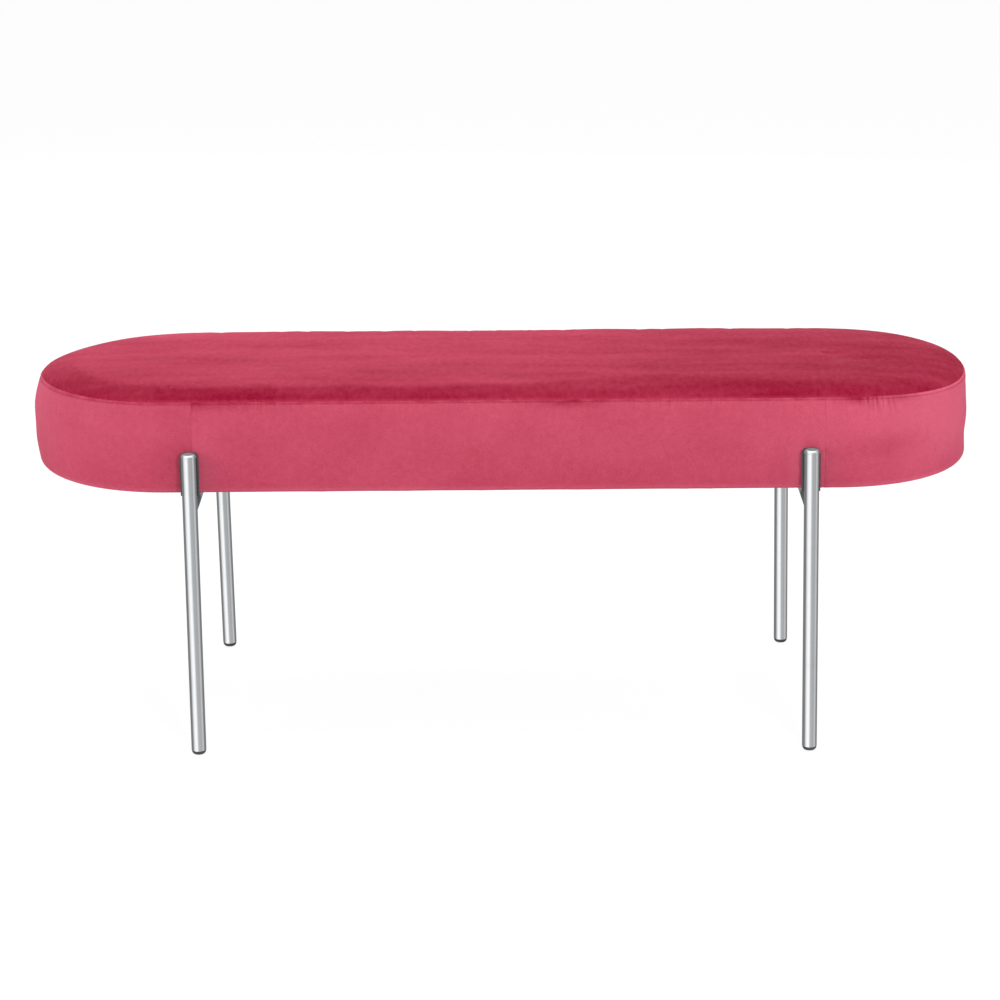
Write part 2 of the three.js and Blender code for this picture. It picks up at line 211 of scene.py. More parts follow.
def grid_faces(rows: int, columns: int, around: bool = False) -> Array:
    """Faces of a grid of points that is stored row by row.

    Args:
        rows: number of rows.
        columns: number of points in each row.
        around: whether each row's last point joins its first.

    Returns:
        Rows of four point numbers.
    """
    row = np.arange(rows - 1)[:, None] * columns
    column = np.arange(columns if around else columns - 1)[None, :]
    following = (column + 1) % columns
    corners = [row + column, row + following, row + columns + following, row + columns + column]
    return np.stack(corners, axis=-1).reshape(-1, 4)


def softened(corners: list[tuple[float, float, float]], steps: int = 4) -> Array:
    """A flat outline whose corners are rounded.

    Each corner (a, b, reach) becomes the curve (1-t)^2 P + 2t(1-t) corner + t^2 Q, where P and Q lie
    on its two sides at that reach from it, or at the corner itself where the reach is zero.

    Args:
        corners: the outline's corners in order, each with the reach of its rounding.
        steps: steps along each rounding.

    Returns:
        The outline's points as rows of two.
    """
    places = np.array([corner[:2] for corner in corners])
    points = []
    for index, (_, _, reach) in enumerate(corners):
        here = places[index]
        if reach == 0 or index in (0, len(corners) - 1):
            points.append(here)
            continue
        before, after = places[index - 1] - here, places[index + 1] - here
        start = here + before / np.linalg.norm(before) * reach
        end = here + after / np.linalg.norm(after) * reach
        t = np.linspace(0, 1, steps + 1)[:, None]
        points.extend((1 - t) ** 2 * start + 2 * t * (1 - t) * here + t**2 * end)
    return np.array(points)


def round_angles(count: int) -> Array:
    """Evenly spaced angles of a full turn."""
    return np.arange(count) * TAU / count


def turned(profile: Array, sides: int) -> Shape:
    """A surface turned about the Z axis: (r, z) at angle a becomes (r cos a, r sin a, z).

    Args:
        profile: rows of radius and height, with the solid on the left when going along them.
        sides: points round the axis.

    Returns:
        The surface.
    """
    angle = round_angles(sides)
    radius, height = profile[:, :1], profile[:, 1:]
    points = np.stack([radius * np.cos(angle), radius * np.sin(angle), height + 0 * angle], axis=-1)
    return Shape(points.reshape(-1, 3), grid_faces(len(profile), sides, around=True))


def carried(path: Array, outward: Array, radius: Array, sides: int) -> Shape:
    """A round bar carried along a path, with its ends closed.

    At each path point p with unit directions n (outward) and m (tangent x n), the surface is
    p + r (cos a n + sin a m), and the two ends are drawn together to a point.

    Args:
        path: rows of three.
        outward: a direction square to the path at each point.
        radius: the bar's radius at each point.
        sides: points round the bar.

    Returns:
        The surface.
    """
    tangent = np.gradient(path, axis=0)
    tangent /= np.linalg.norm(tangent, axis=1, keepdims=True)
    side = np.cross(tangent, outward)
    angle = round_angles(sides)
    spread = outward[:, None, :] * np.cos(angle)[:, None] + side[:, None, :] * np.sin(angle)[:, None]
    rings = path[:, None, :] + radius[:, None, None] * spread
    first = np.repeat(path[:1, None, :], sides, axis=1)
    last = np.repeat(path[-1:, None, :], sides, axis=1)
    points = np.concatenate([first, rings, last])
    return Shape(points.reshape(-1, 3), grid_faces(len(points), sides, around=True))


@dataclass(frozen=True)
class Ripples:
    """Smooth seeded unevenness: a sum of sine waves whose lengths lie between two bounds."""

    seed: int
    shortest: float
    longest: float
    count: int = 14

    def along(self, place: Array, girth: float) -> Array:
        """Unevenness along a closed line, which meets itself after its girth.

        It is the sum of sin(2 pi k s / girth + phase) over whole numbers k, scaled to about unit spread.

        Args:
            place: distances s along the line.
            girth: length of the closed line.

        Returns:
            A value for each distance.
        """
        draw = np.random.default_rng(self.seed)
        lengths = draw.uniform(self.shortest, self.longest, self.count)
        phases = draw.uniform(0, TAU, self.count)
        turns = np.round(girth / lengths)
        waves = np.sin(TAU * turns * place[..., None] / girth + phases)
        return waves.sum(axis=-1) * math.sqrt(2 / self.count)

    def over(self, x: Array, y: Array) -> Array:
        """Unevenness over a plane: the sum of sin(2 pi (x cos d + y sin d) / length + phase)."""
        draw = np.random.default_rng(self.seed)
        lengths = draw.uniform(self.shortest, self.longest, self.count)
        phases = draw.uniform(0, TAU, self.count)
        headings = draw.uniform(0, TAU, self.count)
        distance = x[..., None] * np.cos(headings) + y[..., None] * np.sin(headings)
        return np.sin(TAU * distance / lengths + phases).sum(axis=-1) * math.sqrt(2 / self.count)


def eased(share: Array) -> Array:
    """Rises smoothly from 0 at share 0 to 1 at share 1, as 3 t^2 - 2 t^3."""
    t = np.clip(share, 0, 1)
    return t * t * (3 - 2 * t)


def bell(value: Array, middle: float, width: float) -> Array:
    """A smooth bump: exp(-((value - middle) / width)^2)."""
    return np.exp(-(((value - middle) / width) ** 2))


def build(
    name: str,
    shape: Shape,
    finish: bpy.types.Material,
    slot: Slot,
    replaces: tuple[str, ...] = (),
    crease: float = 38.0,
    wall: float = 0.0,
    closed: bool = True,
) -> bpy.types.Object:
    """Makes a piece of the bench from a surface and puts it on the bench's body.

    Args:
        name: the piece's name.
        shape: its surface.
        finish: its material.
        slot: the record's slot that the finish belongs to.
        replaces: nodes of the frame that it stands for.
        crease: faces that meet at more than this many degrees keep a sharp edge.
        wall: thickness given to an open surface, inwards.
        closed: whether the surface is closed, so that its faces can be turned outwards.

    Returns:
        The new object.
    """
    mesh = bpy.data.meshes.new(name)
    mesh.from_pydata(shape.points.tolist(), [], shape.faces.tolist())
    if shape.uv is not None:
        corner = np.zeros(len(mesh.loops), np.int32)
        mesh.loops.foreach_get("vertex_index", corner)
        layer = mesh.uv_layers.new(name="surface")
        layer.data.foreach_set("uv", shape.uv[corner].astype(np.float32).ravel())
        for key, values in shape.pile.items():
            mesh.attributes.new(key, "FLOAT", "POINT")
            mesh.attributes[key].data.foreach_set("value", values.astype(np.float32))
    body = bmesh.new()
    body.from_mesh(mesh)
    bmesh.ops.remove_doubles(body, verts=body.verts, dist=0.002 * MM)
    if closed:
        bmesh.ops.recalc_face_normals(body, faces=body.faces)
    body.to_mesh(mesh)
    body.free()
    mesh.shade_smooth()
    mesh.set_sharp_from_angle(angle=math.radians(crease))
    mesh.materials.append(finish)
    piece = bpy.data.objects.new(name, mesh)
    bpy.context.scene.collection.objects.link(piece)
    if wall:
        cloth = piece.modifiers.new("wall", "SOLIDIFY")
        cloth.thickness = wall
        cloth.offset = -1
    piece.visible_glossy = slot not in SEAT_SLOTS
    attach(piece, BODY)
    if replaces:
        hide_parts(*replaces)
    log.info("%s: %d faces", name, len(mesh.polygons))
    return piece


# Materials


class Signal:
    """A number that a material works out over the surface, with the usual arithmetic."""

    def __init__(self, graph: "Graph", socket: bpy.types.NodeSocket) -> None:
        """Wraps an output socket.

        Args:
            graph: the node graph that the socket is in.
            socket: the output socket.
        """
        self.graph = graph
        self.socket = socket

    def _math(self, operation: str, *values: "Signal | float") -> "Signal":
        """Adds a Math node on the values and wraps its result."""
        settings = {"operation": operation}
        return self.graph.signal("ShaderNodeMath", settings, dict(enumerate(values)))

    def __add__(self, other: "Signal | float") -> "Signal":
        """Self plus other."""
        return self._math("ADD", self, other)

    __radd__ = __add__

    def __sub__(self, other: "Signal | float") -> "Signal":
        """Self minus other."""
        return self._math("SUBTRACT", self, other)

    def __rsub__(self, other: "Signal | float") -> "Signal":
        """Other minus self."""
        return self._math("SUBTRACT", other, self)

    def __mul__(self, other: "Signal | float") -> "Signal":
        """Self times other."""
        return self._math("MULTIPLY", self, other)

    __rmul__ = __mul__

    def sine(self) -> "Signal":
        """The sine of the signal, in radians."""
        return self._math("SINE", self)

    def clamped(self) -> "Signal":
        """The signal, held between 0 and 1."""
        return self.graph.signal("ShaderNodeClamp", {}, {0: self})

    def between(self, low: float, high: float) -> "Signal":
        """A smooth step: 0 below low, 1 above high."""
        settings = {"interpolation_type": "SMOOTHSTEP"}
        return self.graph.signal("ShaderNodeMapRange", settings, {0: self, 1: low, 2: high})


class Graph:
    """The nodes of one material or of the world."""

    def __init__(self, owner: bpy.types.Material | bpy.types.World) -> None:
        """Empties the owner's nodes.

        Args:
            owner: what the nodes belong to.
        """
        owner.use_nodes = True
        self.tree = owner.node_tree
        self.tree.nodes.clear()

    def node(self, kind: str, settings: dict[str, object], inputs: dict[int | str, object]) -> bpy.types.Node:
        """Adds a node.

        Args:
            kind: the node's type.
            settings: its properties, which are set first.
            inputs: a value, socket or signal for each input named or numbered.

        Returns:
            The node.
        """
        node = self.tree.nodes.new(kind)
        for key, value in settings.items():
            setattr(node, key, value)
        for key, value in inputs.items():
            source = value.socket if isinstance(value, Signal) else value
            if isinstance(source, bpy.types.NodeSocket):
                self.tree.links.new(source, node.inputs[key])
            else:
                node.inputs[key].default_value = source
        return node

    def signal(self, kind: str, settings: dict[str, object], inputs: dict[int | str, object]) -> Signal:
        """Adds a node and wraps its first output."""
        return Signal(self, self.node(kind, settings, inputs).outputs[0])

    def place(self, source: str, scale: tuple[float, float, float] = (1, 1, 1)) -> bpy.types.NodeSocket:
        """Coordinates on the piece, stretched by a scale along each axis.

        Args:
            source: "Object" or "UV".
            scale: multiplies each coordinate.

        Returns:
            The coordinates' socket.
        """
        coordinates = self.node("ShaderNodeTexCoord", {}, {}).outputs[source]
        return self.node("ShaderNodeMapping", {}, {"Vector": coordinates, "Scale": scale}).outputs[0]

    def axis(self, place: bpy.types.NodeSocket, number: int) -> Signal:
        """One of the three coordinates of a place."""
        return Signal(self, self.node("ShaderNodeSeparateXYZ", {}, {0: place}).outputs[number])

    def mixed(
        self, share: Signal | bpy.types.NodeSocket, low: bpy.types.Node, high: bpy.types.Node
    ) -> bpy.types.Node:
        """A mix of two shaders, by a share from 0 to 1."""
        inputs = {0: share, 1: low.outputs[0], 2: high.outputs[0]}
        return self.node("ShaderNodeMixShader", {}, inputs)

    def noise(
        self, place: bpy.types.NodeSocket, scale: float, detail: float = 2, rough: float = 0.5
    ) -> Signal:
        """Cloudy noise from 0 to 1, with this many features to a unit of the place."""
        inputs = {"Vector": place, "Scale": scale, "Detail": detail, "Roughness": rough}
        return self.signal("ShaderNodeTexNoise", {}, inputs)

    def cells(self, place: bpy.types.NodeSocket, scale: float) -> Signal:
        """Distance to the nearest of scattered points, for open foam, zinc and pressed grain."""
        return self.signal("ShaderNodeTexVoronoi", {}, {"Vector": place, "Scale": scale})

    def attribute(self, name: str) -> Signal:
        """A value that the mesh holds at each point."""
        node = self.node("ShaderNodeAttribute", {"attribute_name": name}, {})
        return Signal(self, node.outputs["Fac"])

    def blend(self, share: Signal | float, low: tuple, high: tuple) -> bpy.types.NodeSocket:
        """A colour between two, by a share from 0 to 1."""
        inputs = {0: share, 6: (*low, 1), 7: (*high, 1)}
        return self.node("ShaderNodeMix", {"data_type": "RGBA"}, inputs).outputs[2]

    def bump(self, height: Signal, depth: float, strength: float = 1.0) -> bpy.types.NodeSocket:
        """A normal that follows a height from 0 to 1, which stands for this depth in metres."""
        inputs = {"Strength": strength, "Distance": depth, "Height": height}
        return self.node("ShaderNodeBump", {}, inputs).outputs[0]

    def surface(self, **inputs: object) -> None:
        """Ends the graph in the standard surface shader with these inputs."""
        named = {key.replace("_", " "): value for key, value in inputs.items()}
        shader = self.node("ShaderNodeBsdfPrincipled", {}, named)
        self.node("ShaderNodeOutputMaterial", {}, {"Surface": shader.outputs[0]})


class Finish:
    """A finish that becomes one material, made when it is first asked for."""

    name: str

    def paint(self, graph: Graph) -> None:
        """Adds the finish's nodes to an empty graph."""
        raise NotImplementedError

    def material(self) -> bpy.types.Material:
        """The finish's material, under a name that the frame's own materials don't have."""
        name = "finish_" + self.name
        made = bpy.data.materials.get(name)
        if made is None:
            made = bpy.data.materials.new(name)
            self.paint(Graph(made))
        return made


@dataclass(frozen=True)
class Velvet(Finish):
    """Short-pile velvet: the colour follows how the pile lies, together with the painted shade, sheen and
    highlights that the mesh holds with it, and its tips catch light at a slant.
    """

    name: str = "velvet"
    deep: tuple = (0.287, 0.0025, 0.0255)
    bright: tuple = (0.710, 0.087, 0.160)
    tips: tuple = (1.0, 0.36, 0.46)
    reserve: float = 0.15
    streak_gain: float = 0.70
    streaks: tuple = (4.0, 26.0, 1)
    mottle_gain: float = 0.35
    mottle_scale: float = 14.0
    specks: tuple = (150.0, 70.0, 1)
    speck_gain: float = 0.45
    rucks: tuple = (260.0, 24.0, 1)
    tuft_scale: float = 700.0
    tuft_gain: float = 0.55
    fibre_scale: float = 1600.0
    relief: float = 0.25 * MM

    def paint(self, graph: Graph) -> None:
        """Mixes the mesh's value, which holds the lie of the pile together with painted shade, sheen and
        highlights, with brushed streaks, mottling, specks, rucks and tufts.

        The colour's share is (lie + reserve) / (1 + reserve), so the reserve is what lies darker than 0.
        """
        streaks = graph.noise(graph.place("UV", self.streaks), 1.0, 2, 0.5) - 0.5
        specks = graph.noise(graph.place("UV", self.specks), 1.0, 3, 0.6) - 0.5
        rucks = graph.noise(graph.place("UV", self.rucks), 1.0, 2, 0.6) - 0.5
        solid = graph.place("Object")
        mottle = graph.noise(solid, self.mottle_scale, 3, 0.6) - 0.5
        tufts = graph.noise(solid, self.tuft_scale, 2, 0.7) - 0.5
        lie_and_light = graph.attribute("nap_and_painted_light") + streaks * self.streak_gain + mottle * self.mottle_gain
        lie_and_light = lie_and_light + specks * self.speck_gain + rucks * graph.attribute("ruck") + tufts * self.tuft_gain
        share = ((lie_and_light + self.reserve) * (1 / (1 + self.reserve))).clamped()
        height = graph.noise(solid, self.fibre_scale, 2, 0.8) + graph.noise(solid, 260, 2, 0.6) * 0.8
        graph.surface(
            Base_Color=graph.blend(share, self.deep, self.bright),
            Roughness=0.92 - share * 0.12,
            Specular_IOR_Level=0.03,
            Sheen_Weight=0.14,
            Sheen_Roughness=0.4,
            Sheen_Tint=(*self.tips, 1),
            Normal=graph.bump(height, self.relief, 0.6),
        )


@dataclass(frozen=True)
class BrightSteel(Finish):
    """Tube steel polished round its girth: fine rings, with a faint haze and a few dull spots."""

    name: str = "bright_steel"
    clean: tuple = (0.66, 0.67, 0.68)
    dull: tuple = (0.60, 0.61, 0.63)
    turned: float = 0.75
    metal: float = 1.0
    polish: float = 0.26
    relief: float = 0.004 * MM

    def paint(self, graph: Graph) -> None:
        """Fine rings across the tube's length carry the bump, and haze carries the roughness."""
        rings = graph.noise(graph.place("Object", (30, 30, 5200)), 1.0, 2, 0.6)
        haze = graph.noise(graph.place("Object"), 38, 4, 0.6)
        graph.surface(
            Base_Color=graph.blend(haze.between(0.45, 0.95), self.clean, self.dull),
            Metallic=self.metal,
            Roughness=haze * 0.05 + self.polish,
            Anisotropic=self.turned,
            Anisotropic_Rotation=0.25,
            Normal=graph.bump(rings, self.relief, 0.5),
        )


@dataclass(frozen=True)
class RailSteel(Finish):
    """The rails' steel: bright between the legs, and darkened towards the legs by painted shade of the corner
    where each rail meets its leg.
    """

    name: str = "rail_steel"
    clean: tuple = (0.80, 0.78, 0.80)
    leg_shade: tuple = (0.115, 0.12, 0.125)
    leg_shade_from: float = 146 * MM
    leg_shade_fully: float = 157 * MM
    relief: float = 0.02 * MM

    def paint(self, graph: Graph) -> None:
        """The painted shade's edge is a smooth step of y squared, made uneven by clouds."""
        place = graph.place("Object")
        clouds = graph.noise(place, 90, 3, 0.6)
        across = graph.axis(place, 1)
        uneven = across * across + (clouds - 0.5) * 0.003
        # Painted shade: the rail turns dark near the legs
        dark_share = uneven.between(self.leg_shade_from**2, self.leg_shade_fully**2)
        graph.surface(
            Base_Color=graph.blend(dark_share, self.clean, self.leg_shade),
            Metallic=1.0,
            Roughness=0.24 + clouds * 0.08,
            Normal=graph.bump(clouds, self.relief, 0.3),
        )


@dataclass(frozen=True)
class PlatedSteel(Finish):
    """Zinc-plated steel, dull grey with faint spangle."""

    name: str = "plated_steel"
    light: tuple = (0.50, 0.51, 0.52)
    dark: tuple = (0.33, 0.34, 0.35)
    spangle_scale: float = 420.0
    relief: float = 0.03 * MM

    def paint(self, graph: Graph) -> None:
        """Spangle cells vary the grey, and clouds vary the roughness."""
        place = graph.place("Object")
        spangle = graph.cells(place, self.spangle_scale)
        clouds = graph.noise(place, 90, 3, 0.6)
        grey = (spangle * 0.6 + clouds * 0.5).between(0.2, 0.9)
        graph.surface(
            Base_Color=graph.blend(grey, self.light, self.dark),
            Metallic=1.0,
            Roughness=0.34 + clouds * 0.18,
            Normal=graph.bump(clouds, self.relief, 0.4),
        )


@dataclass(frozen=True)
class WeldSteel(Finish):
    """A polished weld bead: warmer and rougher than the tube."""

    name: str = "weld_steel"
    light: tuple = (0.55, 0.54, 0.52)
    dark: tuple = (0.36, 0.34, 0.32)
    grit_scale: float = 1400
    relief: float = 0.05 * MM

    def paint(self, graph: Graph) -> None:
        """Heat clouds the colour, and fine grit roughens the face."""
        place = graph.place("Object")
        dark_share = graph.noise(place, 160, 3, 0.6)
        grit = graph.noise(place, self.grit_scale, 2, 0.6)
        graph.surface(
            Base_Color=graph.blend(dark_share.between(0.35, 0.7), self.light, self.dark),
            Metallic=1.0,
            Roughness=0.36 + dark_share * 0.2,
            Normal=graph.bump(grit, self.relief, 0.6),
        )


@dataclass(frozen=True)
class GreyPlastic(Finish):
    """Moulded grey plastic with a fine spark-eroded grain."""

    name: str = "grey_plastic"
    light: tuple = (0.072, 0.070, 0.080)
    dark: tuple = (0.046, 0.045, 0.052)
    grain_scale: float = 2600
    relief: float = 0.04 * MM

    def paint(self, graph: Graph) -> None:
        """A fine grain carries the bump, and rubbed patches are a little lighter and smoother."""
        place = graph.place("Object")
        rubbed = graph.noise(place, 120, 3, 0.6).between(0.5, 0.75)
        grain = graph.cells(place, self.grain_scale)
        graph.surface(
            Base_Color=graph.blend(rubbed, self.dark, self.light),
            Roughness=0.58 - rubbed * 0.12,
            Specular_IOR_Level=0.4,
            Normal=graph.bump(grain, self.relief, 0.5),
        )


@dataclass(frozen=True)
class DustCloth(Finish):
    """Black spunbond cloth, pressed in a small lattice of dots, with loose fibres in it."""

    name: str = "dust_cloth"
    light: tuple = (0.034, 0.034, 0.036)
    dark: tuple = (0.012, 0.012, 0.014)
    dot_pitch: float = 2.2 * MM
    relief: float = 0.12 * MM

    def paint(self, graph: Graph) -> None:
        """Dots are the product of two sine waves, and fibres are noise stretched two ways."""
        place, turn = graph.place("Object"), TAU / self.dot_pitch
        dots = (graph.axis(place, 0) * turn).sine() * (graph.axis(place, 1) * turn).sine()
        one_way = graph.noise(graph.place("Object", (160, 1900, 400)), 1.0, 3, 0.6)
        other_way = graph.noise(graph.place("Object", (1900, 160, 400)), 1.0, 3, 0.6)
        fibres = one_way * other_way
        pressed = dots.between(0.1, 0.8)
        graph.surface(
            Base_Color=graph.blend(fibres.between(0.2, 0.45), self.dark, self.light),
            Roughness=0.92 - pressed * 0.2,
            Specular_IOR_Level=0.25,
            Sheen_Weight=0.15,
            Normal=graph.bump(fibres * 1.5 - pressed * 0.5, self.relief, 0.8),
        )


@dataclass(frozen=True)
class Foam(Finish):
    """Cut seat foam with open cells."""

    name: str
    light: tuple
    dark: tuple
    cell_scale: float = 900.0
    relief: float = 0.5 * MM

    def paint(self, graph: Graph) -> None:
        """Open cells give the bump and dark spots, which are painted shade in the cells, and ageing yellows
        it in soft patches.
        """
        place = graph.place("Object")
        pores = graph.cells(place, self.cell_scale)
        age = graph.noise(place, 9, 3, 0.6)
        graph.surface(
            Base_Color=graph.blend((age * 0.7 + (1 - pores) * 0.35).between(0.2, 0.9), self.light, self.dark),
            Roughness=0.95,
            Specular_IOR_Level=0.2,
            Normal=graph.bump(pores, self.relief, 0.8),
        )


@dataclass(frozen=True)
class Fibre(Finish):
    """White polyester wadding: lofty, matted fibres."""

    name: str = "wadding_fibre"
    light: tuple = (0.86, 0.85, 0.82)
    dark: tuple = (0.68, 0.67, 0.64)
    relief: float = 0.8 * MM

    def paint(self, graph: Graph) -> None:
        """Long noise in two directions gives matted strands, and soft clouds give the loft."""
        one_way = graph.noise(graph.place("Object", (60, 700, 300)), 1.0, 4, 0.65)
        other_way = graph.noise(graph.place("Object", (700, 60, 300)), 1.0, 4, 0.65)
        strands = one_way * other_way * 2
        loft = graph.noise(graph.place("Object"), 45, 3, 0.6)
        graph.surface(
            Base_Color=graph.blend((strands * 0.6 + loft * 0.5).between(0.2, 0.9), self.light, self.dark),
            Roughness=0.96,
            Sheen_Weight=0.3,
            Normal=graph.bump(strands + loft, self.relief, 0.7),
        )


@dataclass(frozen=True)
class Plywood(Finish):
    """Birch plywood: grain along the board, and plies in its thickness."""

    name: str = "plywood"
    light: tuple = (0.62, 0.44, 0.25)
    dark: tuple = (0.36, 0.22, 0.11)
    ply: float = 2.6 * MM
    relief: float = 0.15 * MM

    def paint(self, graph: Graph) -> None:
        """Grain is stretched noise along X, and plies are sine waves up the thickness."""
        grain = graph.noise(graph.place("Object", (4, 90, 30)), 1.0, 5, 0.65)
        height = graph.axis(graph.place("Object"), 2)
        plies = (height * (TAU / (2 * self.ply))).sine().between(-0.3, 0.3)
        graph.surface(
            Base_Color=graph.blend((grain * 0.9 + plies * 0.2).between(0.3, 0.95), self.light, self.dark),
            Roughness=0.55 + grain * 0.25,
            Normal=graph.bump(grain, self.relief, 0.6),
        )


@dataclass(frozen=True)
class Thread(Finish):
    """Sewing thread in the cover's colour, with a twisted lay."""

    name: str = "thread"
    light: tuple = (0.50, 0.042, 0.088)
    dark: tuple = (0.36, 0.020, 0.050)
    relief: float = 0.08 * MM

    def paint(self, graph: Graph) -> None:
        """Slanted ridges stand for the twist; the colour is lighter on them and darker between, as painted
        shade.
        """
        ridges = graph.noise(graph.place("Object", (2600, 900, 2600)), 1.0, 1, 0.5)
        graph.surface(
            Base_Color=graph.blend(ridges.between(0.35, 0.65), self.dark, self.light),
            Roughness=0.7,
            Specular_IOR_Level=0.15,
            Sheen_Weight=0.05,
            Sheen_Tint=(1.0, 0.5, 0.6, 1),
            Normal=graph.bump(ridges, self.relief, 0.8),
        )


# The top's velvet is a darker, deeper copy of the band's: painted shade that offsets the stronger light and
# sheen on the top
VELVET = Velvet()
BAND_VELVET = Velvet(
    name="band_velvet",
    deep=(0.330, 0.0135, 0.042),
    bright=(0.716, 0.122, 0.198),
    reserve=0.0,
    streak_gain=0.12,
    streaks=(9.0, 18.0, 1),
    mottle_scale=11.0,
    specks=(120.0, 120.0, 1),
    speck_gain=0.26,
    tuft_gain=0.50,
)
BRIGHT_STEEL = BrightSteel()
CAP_STEEL = BrightSteel(name="cap_steel", turned=0.0, metal=0.9, polish=0.22)
RAIL_STEEL = RailSteel()
PLATED_STEEL = PlatedSteel()
WELD_STEEL = WeldSteel()
GREY_PLASTIC = GreyPlastic()
DUST_CLOTH = DustCloth()
FIRM_FOAM = Foam("firm_foam", (0.72, 0.64, 0.38), (0.56, 0.47, 0.24))
SOFT_FOAM = Foam("soft_foam", (0.80, 0.79, 0.74), (0.66, 0.63, 0.54), cell_scale=1200)
WADDING_FIBRE = Fibre()
PLYWOOD = Plywood()
THREAD = Thread()


# The seat's form


@dataclass(frozen=True)
class Outline:
    """The seat's plan: a rectangle with a half round at each end."""

    straight: float
    radius: float

    @property
    def girth(self) -> float:
        """Length of the outline all the way round."""
        return 4 * self.straight + TAU * self.radius

    def station(self, distance: Array) -> tuple[Array, Array]:
        """Where a place on the outline is measured from.

        Going round from the left end of the front edge, the foot of the radius moves along the middle
        line while the edge is straight, and the heading turns while it is round.

        Args:
            distance: how far round the place is.

        Returns:
            The foot's x, and the heading outwards from it as an angle from +X.
        """
        half, bend = self.straight, math.pi / 2
        marks = np.cumsum([0, 2 * half, math.pi * self.radius, 2 * half, math.pi * self.radius])
        there = np.mod(distance, self.girth)
        foot = np.interp(there, marks, [-half, half, half, -half, -half])
        heading = np.interp(there, marks, [-bend, -bend, bend, bend, 3 * bend])
        return foot, heading

    def points(self, distance: Array, inset: Array, height: Array) -> Array:
        """Places on the seat: (foot + (R - inset) cos h, (R - inset) sin h, height)."""
        foot, heading = self.station(distance)
        reach = self.radius - inset
        parts = [foot + reach * np.cos(heading), reach * np.sin(heading), height + 0 * reach]
        return np.stack(np.broadcast_arrays(*parts), axis=-1)

    def directions(self, distance: Array, outward: Array, upward: Array) -> Array:
        """Directions on the seat with these parts outwards and upwards."""
        _, heading = self.station(distance)
        parts = [outward * np.cos(heading), outward * np.sin(heading), upward + 0 * heading]
        return np.stack(np.broadcast_arrays(*parts), axis=-1)


@dataclass(frozen=True)
class EndForm:
    """How one round end of the seat departs from the plain form round a height.

    It stands out by `out`, and rises by `front` on its front half and by `back` on its back half,
    both growing towards the tip with the given power.
    """

    side: int
    height: float
    spread: float
    out: float = 0.0
    front: float = 0.0
    back: float = 0.0
    power: float = 1.0


END_FORMS = (
    EndForm(-1, 392 * MM, 25 * MM, out=1.2 * MM),
    EndForm(-1, 358 * MM, 16 * MM, out=1.6 * MM),
    EndForm(-1, 327 * MM, 9 * MM, out=-0.6 * MM, front=-1.2 * MM),
    EndForm(-1, 440 * MM, 22 * MM, front=0.2 * MM, back=-2.4 * MM),
    EndForm(1, 435 * MM, 12.5 * MM, out=5.0 * MM),
    EndForm(1, 400 * MM, 13 * MM, out=-1.5 * MM),
    EndForm(1, 355 * MM, 12 * MM, out=-1.2 * MM),
    EndForm(1, 327 * MM, 11 * MM, out=1.4 * MM, front=-2.4 * MM, back=-1.2 * MM),
    EndForm(1, 435 * MM, 14 * MM, front=-10.0 * MM, back=2.0 * MM, power=2.0),
)
END_START = 397 * MM
END_REACH = 183 * MM


def warped(points: Array) -> Array:
    """Places on the seat with the round ends' own form.

    Past the straight part, a place at distance r from the end's centre moves by sums of
    amount * exp(-((z - height) / spread)^2): out by that times h^2 * r / end's reach, and up by
    that times |h|^power, with h the x part of its heading.

    Args:
        points: places on the plain form.

    Returns:
        The places on the seat.
    """
    x, y, z = points[..., 0], points[..., 1], points[..., 2]
    past = x - np.clip(x, -END_START, END_START)
    reach = np.maximum(np.hypot(past, y), 1e-6)
    along, sideways = past / reach, y / reach
    backness = eased(0.5 + 0.5 * sideways)
    out, up = 0 * z, 0 * z
    for form in END_FORMS:
        here = bell(z, form.height, form.spread) * (np.sign(along) == form.side)
        out = out + here * form.out
        rise = form.front * (1 - backness) + form.back * backness
        up = up + here * rise * np.abs(along) ** form.power
    shift = out * along**2 * reach / END_REACH
    return np.stack([x + along * shift, y + sideways * shift, z + up], axis=-1)


@dataclass(frozen=True)
class Patch:
    """A grid of places on the seat's plan or round its side, with the grid's two measures.

    On the plan, each place lies at a share of the reach along a direction from a foot on the middle line.
    """

    rows: Array
    columns: Array
    foot: Array
    along: Array
    sideways: Array
    share: Array

    def spread(self, reach: float) -> tuple[Array, Array]:
        """x and y of the places where a share of 1 means this reach."""
        return self.foot + self.share * reach * self.along, self.share * reach * self.sideways

    @property
    def faces(self) -> Array:
        """The grid's faces, seen from above."""
        return grid_faces(*self.foot.shape)[:, ::-1]


def core_patch(outline: Outline, reach: float, step: float) -> Patch:
    """A grid that covers the middle of a plan like the outline's.

    Grid places (p, v) run from -1 to 1 across, and past the straight part by p at each end. There the
    share is max(|p|, |v|), and the heading is pi/4 * v/p, or the rest of the quarter turn where |v| is
    larger, so that the grid's edge is a round end.

    Args:
        outline: the plan's outline, for its straight part.
        reach: how far the grid's edge is from the middle line.
        step: about how far its places are apart.

    Returns:
        The grid, with share 1 at its edge.
    """
    steps = int(reach / step)
    across = np.linspace(-1, 1, 2 * steps + 1)
    past = np.linspace(0, 1, steps + 1)[1:]
    feet = np.linspace(-outline.straight, outline.straight, int(2 * outline.straight / step) + 1)
    over = np.concatenate([-past[::-1], 0 * feet, past])
    foot = np.concatenate([0 * past - outline.straight, feet, 0 * past + outline.straight])
    p, v = np.meshgrid(over, across, indexing="ij")
    wide, high = np.abs(p), np.abs(v)
    larger = np.maximum(np.maximum(wide, high), 1e-9)
    slant = math.pi / 4 * np.minimum(wide, high) / larger
    turn = np.where(wide >= high, slant, math.pi / 2 - slant)
    along, sideways = np.sign(p) * np.cos(turn), np.sign(v) * np.sin(turn)
    return Patch(foot + over * reach, across, foot[:, None] + 0 * v, along, sideways, np.maximum(wide, high))


